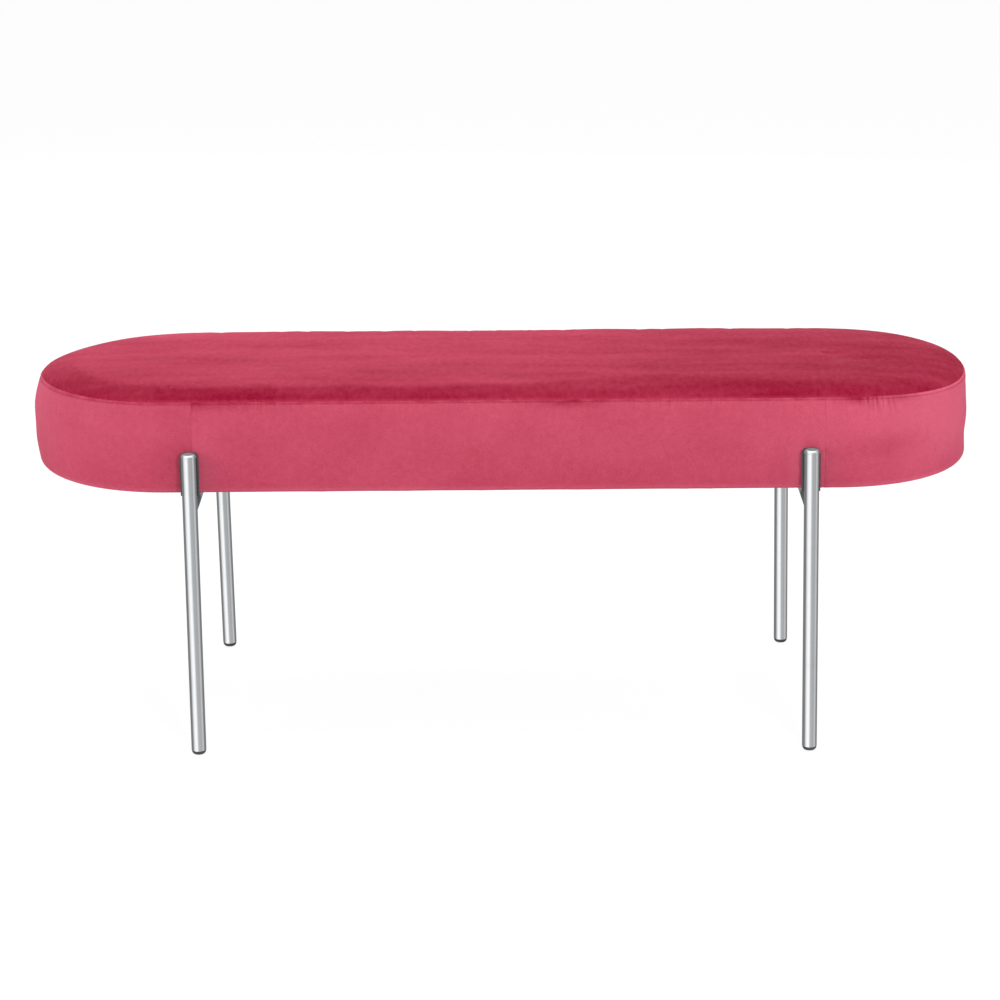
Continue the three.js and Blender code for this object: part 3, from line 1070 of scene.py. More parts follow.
def rim_patch(outline: Outline, core: Patch, shares: Array) -> Patch:
    """Rows round a core grid, which share its edge and follow it outwards.

    The columns are measured by distance round the outline: radius * (heading + pi/2) plus the way that
    the foot has moved.

    Args:
        outline: the plan's outline.
        core: the grid within.
        shares: each row's share of the reach, from the core's edge outwards.

    Returns:
        The grid, whose last column is its first again.
    """
    index = np.arange(core.foot.size).reshape(core.foot.shape)
    ring = np.concatenate([index[:-1, 0], index[-1, :-1], index[:0:-1, -1], index[0, :0:-1]])
    ring = np.roll(ring, -int((core.columns.size - 1) / 2))
    ring = np.append(ring, ring[0])
    foot, along, sideways = (values.ravel()[ring] for values in (core.foot, core.along, core.sideways))
    heading = np.mod(np.arctan2(sideways, along) + math.pi / 2 + 1e-7, TAU) - math.pi / 2
    onward = np.where(heading < math.pi / 2 - 1e-6, foot + outline.straight, 3 * outline.straight - foot)
    distance = outline.radius * (heading + math.pi / 2) + onward
    distance[-1] = outline.girth
    one = np.ones((len(shares), 1))
    return Patch(shares, distance, foot * one, along * one, sideways * one, shares[:, None] + 0 * foot)


@dataclass
class Cloth:
    """A grid of cloth: where it lies, which way it faces, where it is held and how free it is between."""

    rows: Array
    columns: Array
    points: Array
    outward: Array
    held: Array
    ease: Array
    faces: Array
    uv: Array
    # How the pile lies at each point, with painted shade, sheen and highlights in it
    nap_and_painted_light: Array
    ruck: Array

    def shape(self, shift: Array) -> Shape:
        """The cloth as a surface, moved by a shift at each point."""
        points = (self.points + shift).reshape(-1, 3)
        pile = {"nap_and_painted_light": self.nap_and_painted_light.ravel(), "ruck": self.ruck.ravel()}
        return Shape(points, self.faces, self.uv.reshape(-1, 2), pile)

    def with_row(self, points: Array) -> "Cloth":
        """The cloth with one more row after its last, which lies at these points."""
        longer = {
            name: np.concatenate([getattr(self, name), getattr(self, name)[-1:]])
            for name in ("rows", "outward", "held", "ease", "uv", "nap_and_painted_light", "ruck")
        }
        faces = grid_faces(len(self.rows) + 1, len(self.columns))[:, ::-1]
        return replace(self, points=np.concatenate([self.points, points]), faces=faces, **longer)

    def taken_from(self, other: "Cloth", values: Array) -> Array:
        """Values of another grid over the same measures, at this grid's places."""
        across = resampled(values, other.rows, self.rows)
        return resampled(across.swapaxes(0, 1), other.columns, self.columns).swapaxes(0, 1)


def resampled(values: Array, old: Array, new: Array) -> Array:
    """Takes values at new places along their first axis, by cubic curves through four neighbours.

    The weights are Catmull-Rom's: half of -t+2t^2-t^3, 2-5t^2+3t^3, t+4t^2-3t^3 and -t^2+t^3.

    Args:
        values: the values.
        old: where they are, in rising order.
        new: where they are wanted.

    Returns:
        The values there.
    """
    place = np.interp(new, old, np.arange(len(old)))
    first = np.clip(np.floor(place).astype(int), 0, len(old) - 2)
    t = place - first
    picks = np.clip(first[:, None] + np.arange(-1, 3), 0, len(old) - 1)
    cubic = [-t + 2 * t**2 - t**3, 2 - 5 * t**2 + 3 * t**3, t + 4 * t**2 - 3 * t**3, t**3 - t**2]
    return np.einsum("kn,nk...->n...", np.stack(cubic) / 2, values[picks])


@dataclass(frozen=True)
class Settling:
    """A cloth run: the padding presses the cover outwards, seams hold it, and the foam holds it softly."""

    pressure: float = 4.0
    frames: int = 20
    cap: float = 0.8 * MM
    start_inside: float = 0.9 * MM
    sewn_within: float = 0.01 * MM
    slack: float = 0.002
    hold: float = 0.2
    mass: float = 0.25
    tension: float = 18.0
    bending: float = 0.6

    def run(self, cloths: list[Cloth]) -> list[Array]:
        """Settles cloths that touch as one cover.

        The cover starts a little inside its place, because it swells.

        Args:
            cloths: the grids, of which points in one place are sewn together.

        Returns:
            How far each grid's points end from their place, up to the cap.
        """
        points = np.concatenate([cloth.points.reshape(-1, 3) for cloth in cloths])
        inwards = [-self.start_inside * cloth.ease[..., None] * cloth.outward for cloth in cloths]
        starting = points + np.concatenate([shift.reshape(-1, 3) for shift in inwards])
        held = np.concatenate([cloth.held.ravel() for cloth in cloths])
        starts = np.cumsum([0] + [cloth.held.size for cloth in cloths])
        faces = np.concatenate([cloth.faces + start for cloth, start in zip(cloths, starts)])
        rounded = np.round(points / self.sewn_within)
        _, keep, sewn = np.unique(rounded, axis=0, return_index=True, return_inverse=True)
        sewn = sewn.ravel()
        moved = self._settled(starting[keep], sewn[faces], np.flatnonzero(held[keep]))[sewn] - points
        length = np.linalg.norm(moved, axis=1, keepdims=True)
        average, most = length.mean() / MM, length.max() / MM
        log.info("cloth run: moved %.2f mm on average, %.2f mm at most", average, most)
        moved *= np.minimum(1, self.cap / np.maximum(length, 1e-9))
        return [
            moved[start : start + cloth.held.size].reshape(cloth.points.shape)
            for cloth, start in zip(cloths, starts)
        ]

    def _settled(self, points: Array, faces: Array, held: Array) -> Array:
        """Runs the cloth modifier on a mesh with held points, and returns where its points end."""
        mesh = bpy.data.meshes.new("settling")
        mesh.from_pydata(points.tolist(), [], faces.tolist())
        cover = bpy.data.objects.new("settling", mesh)
        bpy.context.scene.collection.objects.link(cover)
        group = cover.vertex_groups.new(name="held")
        group.add(list(range(len(points))), self.hold, "REPLACE")
        group.add(held.tolist(), 1.0, "REPLACE")
        modifier = cover.modifiers.new("cloth", "CLOTH")
        settings = modifier.settings
        settings.quality = 6
        settings.mass = self.mass
        settings.tension_stiffness = settings.compression_stiffness = self.tension
        settings.shear_stiffness = self.tension / 2
        settings.bending_stiffness = self.bending
        settings.shrink_min = -self.slack
        settings.use_pressure = True
        settings.uniform_pressure_force = self.pressure
        settings.effector_weights.gravity = 0
        settings.vertex_group_mass = "held"
        modifier.collision_settings.use_collision = False
        for step in range(1, self.frames + 1):
            bpy.context.scene.frame_set(step)
        cover_now = cover.evaluated_get(bpy.context.evaluated_depsgraph_get())
        settled = np.zeros(3 * len(points), np.float32)
        cover_now.data.vertices.foreach_get("co", settled)
        bpy.data.objects.remove(cover)
        bpy.data.meshes.remove(mesh)
        bpy.context.scene.frame_set(1)
        return settled.reshape(-1, 3).astype(float)


@dataclass(frozen=True)
class Grain:
    """How finely the cover is divided."""

    plan_step: float
    band_step: float
    upper_step: float
    lower_rows: int
    edge_rows: int
    hem_rows: int
    near_seam: tuple


FINE = Grain(3.2 * MM, 2.2 * MM, 2.2 * MM, 26, 10, 9, (0, 0.4, 0.9, 1.5, 2.2, 3.0, 3.6, 4.2, 4.8, 5.6, 6.8))
COARSE = Grain(8.0 * MM, 8.0 * MM, 6.0 * MM, 9, 4, 4, (0, 3.0, 6.5))


@dataclass(frozen=True)
class SoftMark:
    """A soft patch of lighter or darker velvet. Some stand for how the pile lies, some are painted shade,
    sheen or light, as noted where they are listed, and some set how strongly rucks show.

    Its place and size are along the outline and down from the seam, or along X and Y on the top.
    """

    along: float
    across: float
    length: float
    width: float
    gain: float

    def over(self, along: Array, across: Array) -> Array:
        """The patch's share of the value at each place."""
        return self.gain * bell(along, self.along, self.length) * bell(across, self.across, self.width)


@dataclass
class Cover:
    """The velvet cover: a crowned top panel and a band of four panels, sewn along a drawn-in seam."""

    cloth: float = 1.6 * MM
    seam_draw_in: float = 10.5 * MM
    crown_sharpness: int = 7
    fullest_drop: float = 43 * MM
    foot_draw_in: float = 3 * MM
    lower_edge: float = 10 * MM
    hem: float = 30 * MM
    seam_inside_left: float = 29.5 * MM
    seam_inside_right: float = 10.5 * MM
    groove_depth: float = 0.9 * MM
    groove_width: float = 2.0 * MM
    tuck: float = 3 * MM
    topstitch_drop: float = 3.3 * MM
    topstitch_wander: float = 1.7 * MM
    topstitch_depth: float = 0.5 * MM
    stitch_pitch: float = 4.6 * MM
    stitch_length: float = 3.5 * MM
    stitch_width: float = 0.8 * MM
    thread: float = 0.30 * MM
    thread_lift: float = 0.15 * MM
    thread_arch: float = 0.28 * MM
    thread_sunk: float = 0.2 * MM
    allowance: float = 0.2 * MM
    gather_fade: float = 14 * MM
    slack: float = 0.35 * MM
    upright_share: float = 0.45
    upright_fade: float = 0.6
    upright_ridge: float = 0.15 * MM
    fine_gathers: Ripples = Ripples(11, 7 * MM, 16 * MM)
    gather_spread: Ripples = Ripples(12, 90 * MM, 260 * MM)
    band_waves: Ripples = Ripples(21, 120 * MM, 320 * MM)
    top_waves: Ripples = Ripples(31, 110 * MM, 300 * MM)
    welt_waves: Ripples = Ripples(61, 9 * MM, 45 * MM)
    shoulder_waves: Ripples = Ripples(62, 60 * MM, 300 * MM)
    core_share: float = 0.80
    band_lie: float = 0.57
    band_lie_fall: float = 0.11
    # Painted sheen: a lighter rim along the band's lower edge, where it turns under
    rim_sheen: float = 0.32
    welt_lie: float = -0.21
    stitch_lie: float = -0.14
    stitch_lie_on_end: float = -0.12
    # Painted shade: darker cloth in the crease of the top seam
    groove_shade: float = -0.25
    top_lie: float = 0.42
    top_lie_fall: float = 0.39
    top_lie_back: float = 0.65
    # Painted shade: a darker strip along the front shoulder of the crown, where it slopes towards the front
    shoulder_shade: float = -0.02
    shoulder_in: float = 36 * MM
    shoulder_soft: float = 26 * MM
    # Painted highlight: a lighter line along the top's edge at the seam
    seam_highlight: float = 0.24
    darkest: float = 0.07
    settling: Settling = Settling()
    band_light_and_nap_marks: tuple = (
        # Painted sheen and light: the two round ends are lighter
        SoftMark(0.98, 0.030, 0.16, 0.09, 0.47),
        SoftMark(2.470, 0.030, 0.12, 0.12, 0.45),
        SoftMark(0.826, 0.002, 0.022, 0.007, -0.50),
        SoftMark(0.880, 0.004, 0.025, 0.006, -0.30),
        # Painted shade: a soft darker band low on the right end
        SoftMark(0.868, 0.062, 0.050, 0.016, -0.20),
        SoftMark(2.728, 0.035, 0.030, 0.020, 0.03),
        # Painted shadow above the left front leg's top
        SoftMark(0.016, 0.036, 0.005, 0.003, -0.22),
        SoftMark(0.480, 0.005, 0.035, 0.005, -0.32),
        SoftMark(0.030, 0.005, 0.080, 0.006, -0.27),
        # Painted shadow beside the left front leg
        SoftMark(0.006, 0.090, 0.006, 0.040, -0.10),
        SoftMark(0.965, 0.0022, 0.080, 0.0020, 0.42),
        # Painted light: lighter cloth beside the front legs, which lifts the shade that they cast
        SoftMark(0.036, 0.085, 0.018, 0.038, 0.32),
        SoftMark(0.751, 0.085, 0.010, 0.038, 0.24),
        SoftMark(0.781, 0.085, 0.016, 0.038, 0.20),
    )
    ruck_marks: tuple = (
        SoftMark(0.845, 0.006, 0.030, 0.012, 1.6),
        SoftMark(0.62, 0.004, 0.05, 0.008, 0.5),
        SoftMark(0.12, 0.004, 0.04, 0.008, 0.4),
    )
    top_marks: tuple = (
        SoftMark(0.0, -0.150, 0.045, 0.03, 0.10),
        SoftMark(-0.40, -0.150, 0.080, 0.018, -0.08),
        SoftMark(0.28, -0.155, 0.150, 0.020, -0.15),
        SoftMark(0.50, -0.090, 0.080, 0.050, -0.16),
        SoftMark(0.08, -0.150, 0.035, 0.018, -0.10),
        SoftMark(-0.42, 0.130, 0.090, 0.030, 0.15),
    )
    outline: Outline = field(init=False)
    seam_height: float = field(init=False)
    underside: float = field(init=False)
    crown: float = field(init=False)

    def __post_init__(self) -> None:
        """Takes the seat's plan and heights from the frame."""
        front, right, top = (Extent.of(node) for node in ("band_front", "band_right", "cover_top"))
        radius = -front.low[1]
        self.outline = Outline(right.high[0] - radius, radius)
        self.underside = Extent.of("band_left").low[2]
        self.seam_height = top.low[2] + self.cloth
        self.crown = top.high[2] - self.seam_height

    @property
    def seam_reach(self) -> float:
        """From the middle line out to the top seam."""
        return self.outline.radius - self.seam_draw_in

    @property
    def tall(self) -> float:
        """The band's height."""
        return self.seam_height - self.underside

    def panel_span(self, panel: BandPanel) -> tuple[float, float]:
        """Where a band panel starts and ends, as distances round the outline."""
        long_side = 2 * self.outline.straight
        back_start = long_side + math.pi * self.outline.radius
        front_left, front_right = self.seam_inside_left, long_side - self.seam_inside_right
        back_right = back_start + self.seam_inside_right
        back_left = back_start + long_side - self.seam_inside_left
        spans = {
            BandPanel.FRONT: (front_left, front_right),
            BandPanel.RIGHT: (front_right, back_right),
            BandPanel.BACK: (back_right, back_left),
            BandPanel.LEFT: (back_left, self.outline.girth + front_left),
        }
        return spans[panel]

    def band_profile(self, grain: Grain) -> tuple[Array, Array, Array]:
        """The band's outside from the seam down to the inner edge of its hem.

        Above the fullest line the inset is draw * (1 - sin(pi/2 * drop / fullest drop)), and below it
        foot draw * (share down to the lower edge)^2. A quarter round and a flat hem follow.

        Args:
            grain: how finely to divide it.

        Returns:
            Inset, height and distance from the seam at each point, from the seam down.
        """
        fullest = self.seam_height - self.fullest_drop
        edge_top = self.underside + self.lower_edge
        near = np.array(grain.near_seam) * MM
        rows = int((self.fullest_drop - near[-1]) / grain.upper_step)
        upper = np.concatenate([near, np.linspace(near[-1], self.fullest_drop, rows + 1)[1:-1]])
        upper_inset = self.seam_draw_in * (1 - np.sin(math.pi / 2 * upper / self.fullest_drop))
        lower = np.linspace(fullest, edge_top, grain.lower_rows)[:-1]
        lower_inset = self.foot_draw_in * ((fullest - lower) / (fullest - edge_top)) ** 2
        angle = np.linspace(0, math.pi / 2, grain.edge_rows)
        edge_inset = self.foot_draw_in + self.lower_edge * (1 - np.cos(angle))
        edge_height = self.underside + self.lower_edge * (1 - np.sin(angle))
        hem_inset = edge_inset[-1] + np.linspace(0, self.hem, grain.hem_rows)[1:]
        inset = np.concatenate([upper_inset, lower_inset, edge_inset, hem_inset])
        hem_height = 0 * hem_inset + self.underside
        height = np.concatenate([self.seam_height - upper, lower, edge_height, hem_height])
        down = np.concatenate([[0], np.cumsum(np.hypot(np.diff(inset), np.diff(height)))])
        return inset, height, down

    def puckers(self, distance: Array) -> Array:
        """How strongly the cloth gathers along the top seam: more on the round ends than between."""
        girth = self.outline.girth
        _, heading = self.outline.station(distance)
        on_end = np.abs(np.cos(heading)) ** 0.5
        fine = self.fine_gathers.along(distance, girth)
        uneven = 0.5 + 0.5 * self.gather_spread.along(distance, girth)
        return fine * (0.12 + 0.20 * on_end) * np.clip(uneven, 0.1, 1.4) * MM

    def topstitch(self, distance: Array) -> Array:
        """How far below the seam the topstitches run: further on the round ends than between."""
        _, heading = self.outline.station(distance)
        return self.topstitch_drop + self.topstitch_wander * np.abs(np.cos(heading))

    def groove(self, away: Array) -> Array:
        """How the cloth dips towards a seam, by the distance from it."""
        return -self.groove_depth * np.clip(1 - away / self.groove_width, 0, 1) ** 2

    def band_relief(self, distance: Array, down: Array, start: float, end: float) -> Array:
        """How far the band's face stands out from its plain profile.

        Args:
            distance: places round the outline.
            down: distances below the seam.
            start: where the panel starts.
            end: where it ends.

        Returns:
            The relief, in metres.
        """
        line = self.topstitch(distance)
        stitched = -self.topstitch_depth * bell(down, line, self.stitch_width)
        allowance = self.allowance * bell(down, 0.6 * line, 1.3 * MM)
        gathers = self.puckers(distance) * np.exp(-down / self.gather_fade) * np.clip(down / (2 * MM), 0, 1)
        slack = self.slack * self.band_waves.along(distance, self.outline.girth)
        slack = slack * np.sin(np.clip(down / self.tall, 0, 1) * math.pi)
        edge = np.minimum(distance - start, end - distance)
        fading = 1 - self.upright_fade * eased(down / self.tall)
        upright = self.upright_share * self.groove(edge) * fading
        beside = self.upright_ridge * bell(edge, 4 * MM, 3 * MM)
        return self.groove(down) + stitched + allowance + gathers + slack + upright + beside

    def band_nap_and_light(self, distance: Array, down: Array) -> Array:
        """How light the band's velvet is, from 0 for dark to 1 for light: darker towards the bottom, in the
        welt below the seam and along the topstitch line, with painted sheen along the lower edge, painted
        shade in the seam's crease and listed marks.
        """
        share = np.clip(down / self.tall, 0, 1)
        base = self.band_lie - self.band_lie_fall * share
        # Painted sheen along the lower edge
        rim = self.rim_sheen * bell(down, self.tall - 1 * MM, 4 * MM)
        uneven = 0.06 * self.welt_waves.along(distance, self.outline.girth)
        line = self.topstitch(distance)
        on_end = (line - self.topstitch_drop) / self.topstitch_wander
        welt = (self.welt_lie + uneven) * bell(down, 0.45 * line, 0.55 * line)
        stitched = self.stitch_lie + self.stitch_lie_on_end * on_end
        stitched = stitched * bell(down, line, self.stitch_width)
        # Painted shade in the seam's crease
        groove = self.groove_shade * bell(down, 0, 0.6 * MM)
        marks = sum(mark.over(distance, down) for mark in self.band_light_and_nap_marks)
        return base + rim + welt + stitched + groove + marks

    def band_ruck(self, distance: Array, down: Array) -> Array:
        """How strongly the pile shows upright rucks: below the top seam, most where they are marked."""
        marks = sum(mark.over(distance, down) for mark in self.ruck_marks)
        return 0.02 + 0.25 * np.exp(-down / (9 * MM)) + marks

    def band(self, panel: BandPanel, grain: Grain) -> Cloth:
        """One panel of the band: a grid round the outline by down the profile.

        Args:
            panel: the panel.
            grain: how finely to divide it. The fine panel has its relief, and its edges are tucked in.

        Returns:
            The panel's outer face.
        """
        start, end = self.panel_span(panel)
        near = np.array(grain.near_seam[:5]) * MM
        steps = int((end - start - 2 * near[-1]) / grain.band_step)
        middle = np.linspace(start + near[-1], end - near[-1], steps + 1)[1:-1]
        distance = np.concatenate([start + near, middle, end - near[::-1]])
        inset, height, down = self.band_profile(grain)
        run = np.hypot(np.gradient(inset), np.gradient(height))
        out, up = -np.gradient(height) / run, -np.gradient(inset) / run
        tucked = grain is FINE
        if tucked:
            distance = np.concatenate([[start], distance, [end]])
            inset, height, down, out, up = (
                np.concatenate([values[:1], values]) for values in (inset, height, down, out, up)
            )
            inset[0] += self.tuck
            height[0] -= self.tuck / 2
        s, w = np.meshgrid(distance, down, indexing="ij")
        points = self.outline.points(s, inset, height)
        outward = self.outline.directions(s, out, up)
        held = (w == 0) | (w >= down[-grain.hem_rows])
        if tucked:
            relief = self.band_relief(s, w, start, end)
            relief[[0, -1]] -= self.tuck
            points = points + outward * relief[..., None]
        ease = np.sin(np.clip(w / self.tall, 0, 1) * math.pi)
        uv = np.stack([s, -w], axis=-1)
        faces, nap_and_painted_light, ruck = grid_faces(*s.shape), self.band_nap_and_light(s, w), self.band_ruck(s, w)
        return Cloth(distance, down, warped(points), outward, held, ease, faces, uv, nap_and_painted_light, ruck)

    def crown_height(self, share: Array) -> Array:
        """Height of the top at a share of the reach to the seam: seam + crown * (1 - share^n)."""
        return self.seam_height + self.crown * (1 - share**self.crown_sharpness)

    def top_relief(self, x: Array, y: Array, from_seam: Array) -> Array:
        """How far the top stands above its plain crown.

        Args:
            x: places along the bench.
            y: places across it.
            from_seam: distance in from the seam.

        Returns:
            The relief, in metres.
        """
        soft = self.slack * self.top_waves.over(x, y)
        return self.groove(from_seam) + soft * np.clip(from_seam / (30 * MM), 0, 1)

    def top_nap_and_light(self, x: Array, y: Array, from_seam: Array) -> Array:
        """How light the top's velvet is, from 0 for dark to 1 for light: lighter to the left and to the back,
        with listed patches, painted shade along the front shoulder of the crown and a painted highlight along
        the seam.

        A soft floor d * log(1 + exp(value / d)) keeps it above 0, so the grain shows in the dark parts too.
        """
        drift = self.top_lie - self.top_lie_fall * eased((x + 0.1) / 0.60) + self.top_lie_back * y
        # Painted shade along the front shoulder of the crown, on the front half only
        front_shade_mask = np.clip(0.25 - 0.8 * y / self.seam_reach, 0, 1)
        line = self.shoulder_in + 5 * MM * self.shoulder_waves.over(x, 0 * x)
        shoulder_shade_share = 1 - eased((from_seam - line) / self.shoulder_soft + 0.5)
        nap_and_painted_light = drift + (self.shoulder_shade - drift) * shoulder_shade_share * front_shade_mask
        # The painted highlight along the seam, fading out on the round ends
        past = eased((np.abs(x) - 0.39) / 0.10)
        edge = self.seam_highlight * (1 - past) * bell(from_seam, 0.5 * MM, 2.4 * MM)
        nap_and_painted_light = nap_and_painted_light + edge + sum(mark.over(x, y) for mark in self.top_marks)
        return self.darkest * np.logaddexp(0, nap_and_painted_light / self.darkest)

    def top(self, grain: Grain) -> list[Cloth]:
        """The top panel: a core grid, and a rim of rows that follow the seam.

        Args:
            grain: how finely to divide it. The fine panel has its relief, and its edge is tucked in.

        Returns:
            The two grids.
        """
        reach = self.seam_reach
        near = np.array(grain.near_seam[::-1]) * MM / reach
        rows = int(((1 - self.core_share) * reach - near[0] * reach) / (grain.plan_step * 0.9))
        shares = np.concatenate([np.linspace(self.core_share, 1 - near[0], rows + 1)[:-1], 1 - near])
        core = core_patch(self.outline, self.core_share * reach, grain.plan_step)
        rim = rim_patch(self.outline, core, shares / self.core_share)
        cloths = [self._top_cloth(patch, grain) for patch in (core, rim)]
        if grain is FINE:
            outer = cloths[1]
            inward = self.outline.directions(outer.columns, -np.ones(1), -0.5 * np.ones(1))
            cloths[1] = outer.with_row(outer.points[-1:] + self.tuck * inward[None])
        return cloths

    def _top_cloth(self, patch: Patch, grain: Grain) -> Cloth:
        """One grid of the top, at its height and with its relief where it is fine."""
        core_reach = self.core_share * self.seam_reach
        x, y = patch.spread(core_reach)
        from_seam = self.seam_reach - patch.share * core_reach
        height = self.crown_height(1 - from_seam / self.seam_reach)
        if grain is FINE:
            height = height + self.top_relief(x, y, from_seam)
        points = np.stack([x, y, height], axis=-1)
        outward = 0 * points + UP
        uv = np.stack([x, y], axis=-1)
        held = from_seam < 0.01 * MM
        ease = np.clip(from_seam / (40 * MM), 0, 1)
        nap_and_painted_light, ruck = self.top_nap_and_light(x, y, from_seam), 0.12 * bell(from_seam, 0, 20 * MM)
        return Cloth(
            patch.rows, patch.columns, warped(points), outward, held, ease, patch.faces, uv, nap_and_painted_light, ruck
        )

    def panels(self, grain: Grain) -> list[Cloth]:
        """All the cover's grids: the top's core and rim, then the band's four panels."""
        return self.top(grain) + [self.band(panel, grain) for panel in BandPanel]

    def stitches(self) -> Shape:
        """The topstitches: thread lies in the groove below the seam, one short bar to each stitch."""
        girth = self.outline.girth
        count = int(girth / self.stitch_pitch)
        distance = np.arange(count) * girth / count
        inset, height, down = self.band_profile(FINE)
        line = self.topstitch(distance)
        at_inset, at_height = (np.interp(line, down, values) for values in (inset, height))
        slope = np.array([inset[0] - at_inset, height[0] - at_height])
        up, out = slope / np.linalg.norm(slope, axis=0)
        relief = self.puckers(distance) - self.topstitch_depth + self.thread_lift
        normal = self.outline.directions(distance, out, up)
        along = np.cross(UP, self.outline.directions(distance, 1.0, 0.0))
        origin = self.outline.points(distance, at_inset, at_height)
        origin = warped(origin + normal * relief[:, None])
        t = np.linspace(-1, 1, 7)
        rise = self.thread_arch * (1 - t**2) - self.thread_sunk
        path = np.stack([t * self.stitch_length / 2, 0 * t, rise], axis=-1)
        thread = carried(path, np.tile(UP, (len(t), 1)), self.thread * (1 - 0.5 * t**4), 6)
        axes = np.stack([along, np.cross(normal, along), normal], axis=1)
        return thread.copies(origin, axes)

    def make(self) -> None:
        fine = self.panels(FINE)
        shifts = [0 * cloth.points for cloth in fine]
        coarse = self.panels(COARSE)
        moved = self.settling.run(coarse)
        shifts = [new.taken_from(old, shift) for new, old, shift in zip(fine, coarse, moved)]
        shapes = [cloth.shape(shift) for cloth, shift in zip(fine, shifts)]
        pieces = [("velvet_top", joined(shapes[:2]), VELVET, "cover_top")]
        pieces += [
            ("velvet_" + panel.value, shape, BAND_VELVET, panel.value)
            for panel, shape in zip(BandPanel, shapes[2:])
        ]
        for name, shape, finish, node in pieces:
            piece = build(
                name, shape, finish.material(), Slot.VELVET, (node,), 80, wall=self.cloth, closed=False
            )
        build("topstitches", self.stitches(), THREAD.material(), Slot.VELVET)


@dataclass
class Padding:
    """What fills the cover: a foam block, a softer foam layer above it, and wadding round both."""

    cover: Cover
    wadding_gap: float = 0.3 * MM
    wadding: float = 6 * MM
    foam_gap: float = 0.3 * MM
    step: float = 9 * MM

    def rows(self, inwards: float) -> tuple[Array, Array]:
        """The seat's section drawn in by a distance, from the core's edge over the shoulder and down.

        Args:
            inwards: how far inside the cover's outer face.

        Returns:
            Reach and height of each row.
        """
        cover = self.cover
        shares = np.linspace(cover.core_share, 1, 9)[:-1]
        inset, height, _ = cover.band_profile(COARSE)
        on_side = height > cover.underside + 0.5 * MM
        reach = np.concatenate([shares * cover.seam_reach, cover.outline.radius - inset[on_side]])
        level = np.concatenate([cover.crown_height(shares), height[on_side]])
        run = np.hypot(np.gradient(reach), np.gradient(level))
        out, up = -np.gradient(level) / run, np.gradient(reach) / run
        return reach - inwards * out, level - inwards * up

    def body(self, reach: Array, height: Array) -> Shape:
        """A closed form: a core grid at the first row, the rows round it, and a core grid at the last.

        Args:
            reach: each row's distance from the middle line.
            height: each row's height.

        Returns:
            The surface.
        """
        core = core_patch(self.cover.outline, reach[0], self.step)
        rim = rim_patch(self.cover.outline, core, reach / reach[0])
        patches = [
            (core, reach[0], height[0], core.faces),
            (rim, reach[0], height[:, None], rim.faces),
            (core, reach[-1], height[-1], core.faces[:, ::-1]),
        ]
        parts = []
        for patch, size, level, faces in patches:
            x, y = patch.spread(size)
            places = np.stack([x, y, level + 0 * x], axis=-1).reshape(-1, 3)
            parts.append(Shape(warped(places), faces))
        return joined(parts)

    def make(self) -> None:
        """Builds the foam block, the soft layer and the wadding, which is open beneath."""
        floor, split = Extent.of("base_board").high[2], Extent.of("foam_core").high[2]
        foot = Extent.of("wadding").low[2]
        outer_inset = self.cover.cloth + self.wadding_gap
        inner_inset = outer_inset + self.wadding
        reach, height = self.rows(inner_inset + self.foam_gap)
        joint = np.interp(-split, -height, reach)
        above, beside = height >= split, (height < split) & (height > floor)
        block = (
            np.concatenate([[joint], reach[beside], reach[beside][-1:]]),
            np.concatenate([[split], height[beside], [floor]]),
        )
        layer = (np.append(reach[above], joint), np.append(height[above], split))
        (outer, outer_height), (inner, inner_height) = self.rows(outer_inset), self.rows(inner_inset)
        kept = outer_height > foot
        turn = [outer[kept][-1], inner[kept][-1]]
        wrap = (
            np.concatenate([outer[kept], turn, inner[kept][::-1]]),
            np.concatenate([outer_height[kept], [foot, foot], inner_height[kept][::-1]]),
        )
        parts = [
            ("foam_block", block, FIRM_FOAM, Slot.FOAM, "foam_core"),
            ("soft_layer", layer, SOFT_FOAM, Slot.FOAM, "comfort_layer"),
            ("wadding_wrap", wrap, WADDING_FIBRE, Slot.WADDING, "wadding"),
        ]
        pieces = [
            build(name, self.body(*rows), finish.material(), slot, (node,))
            for name, rows, finish, slot, node in parts
        ]


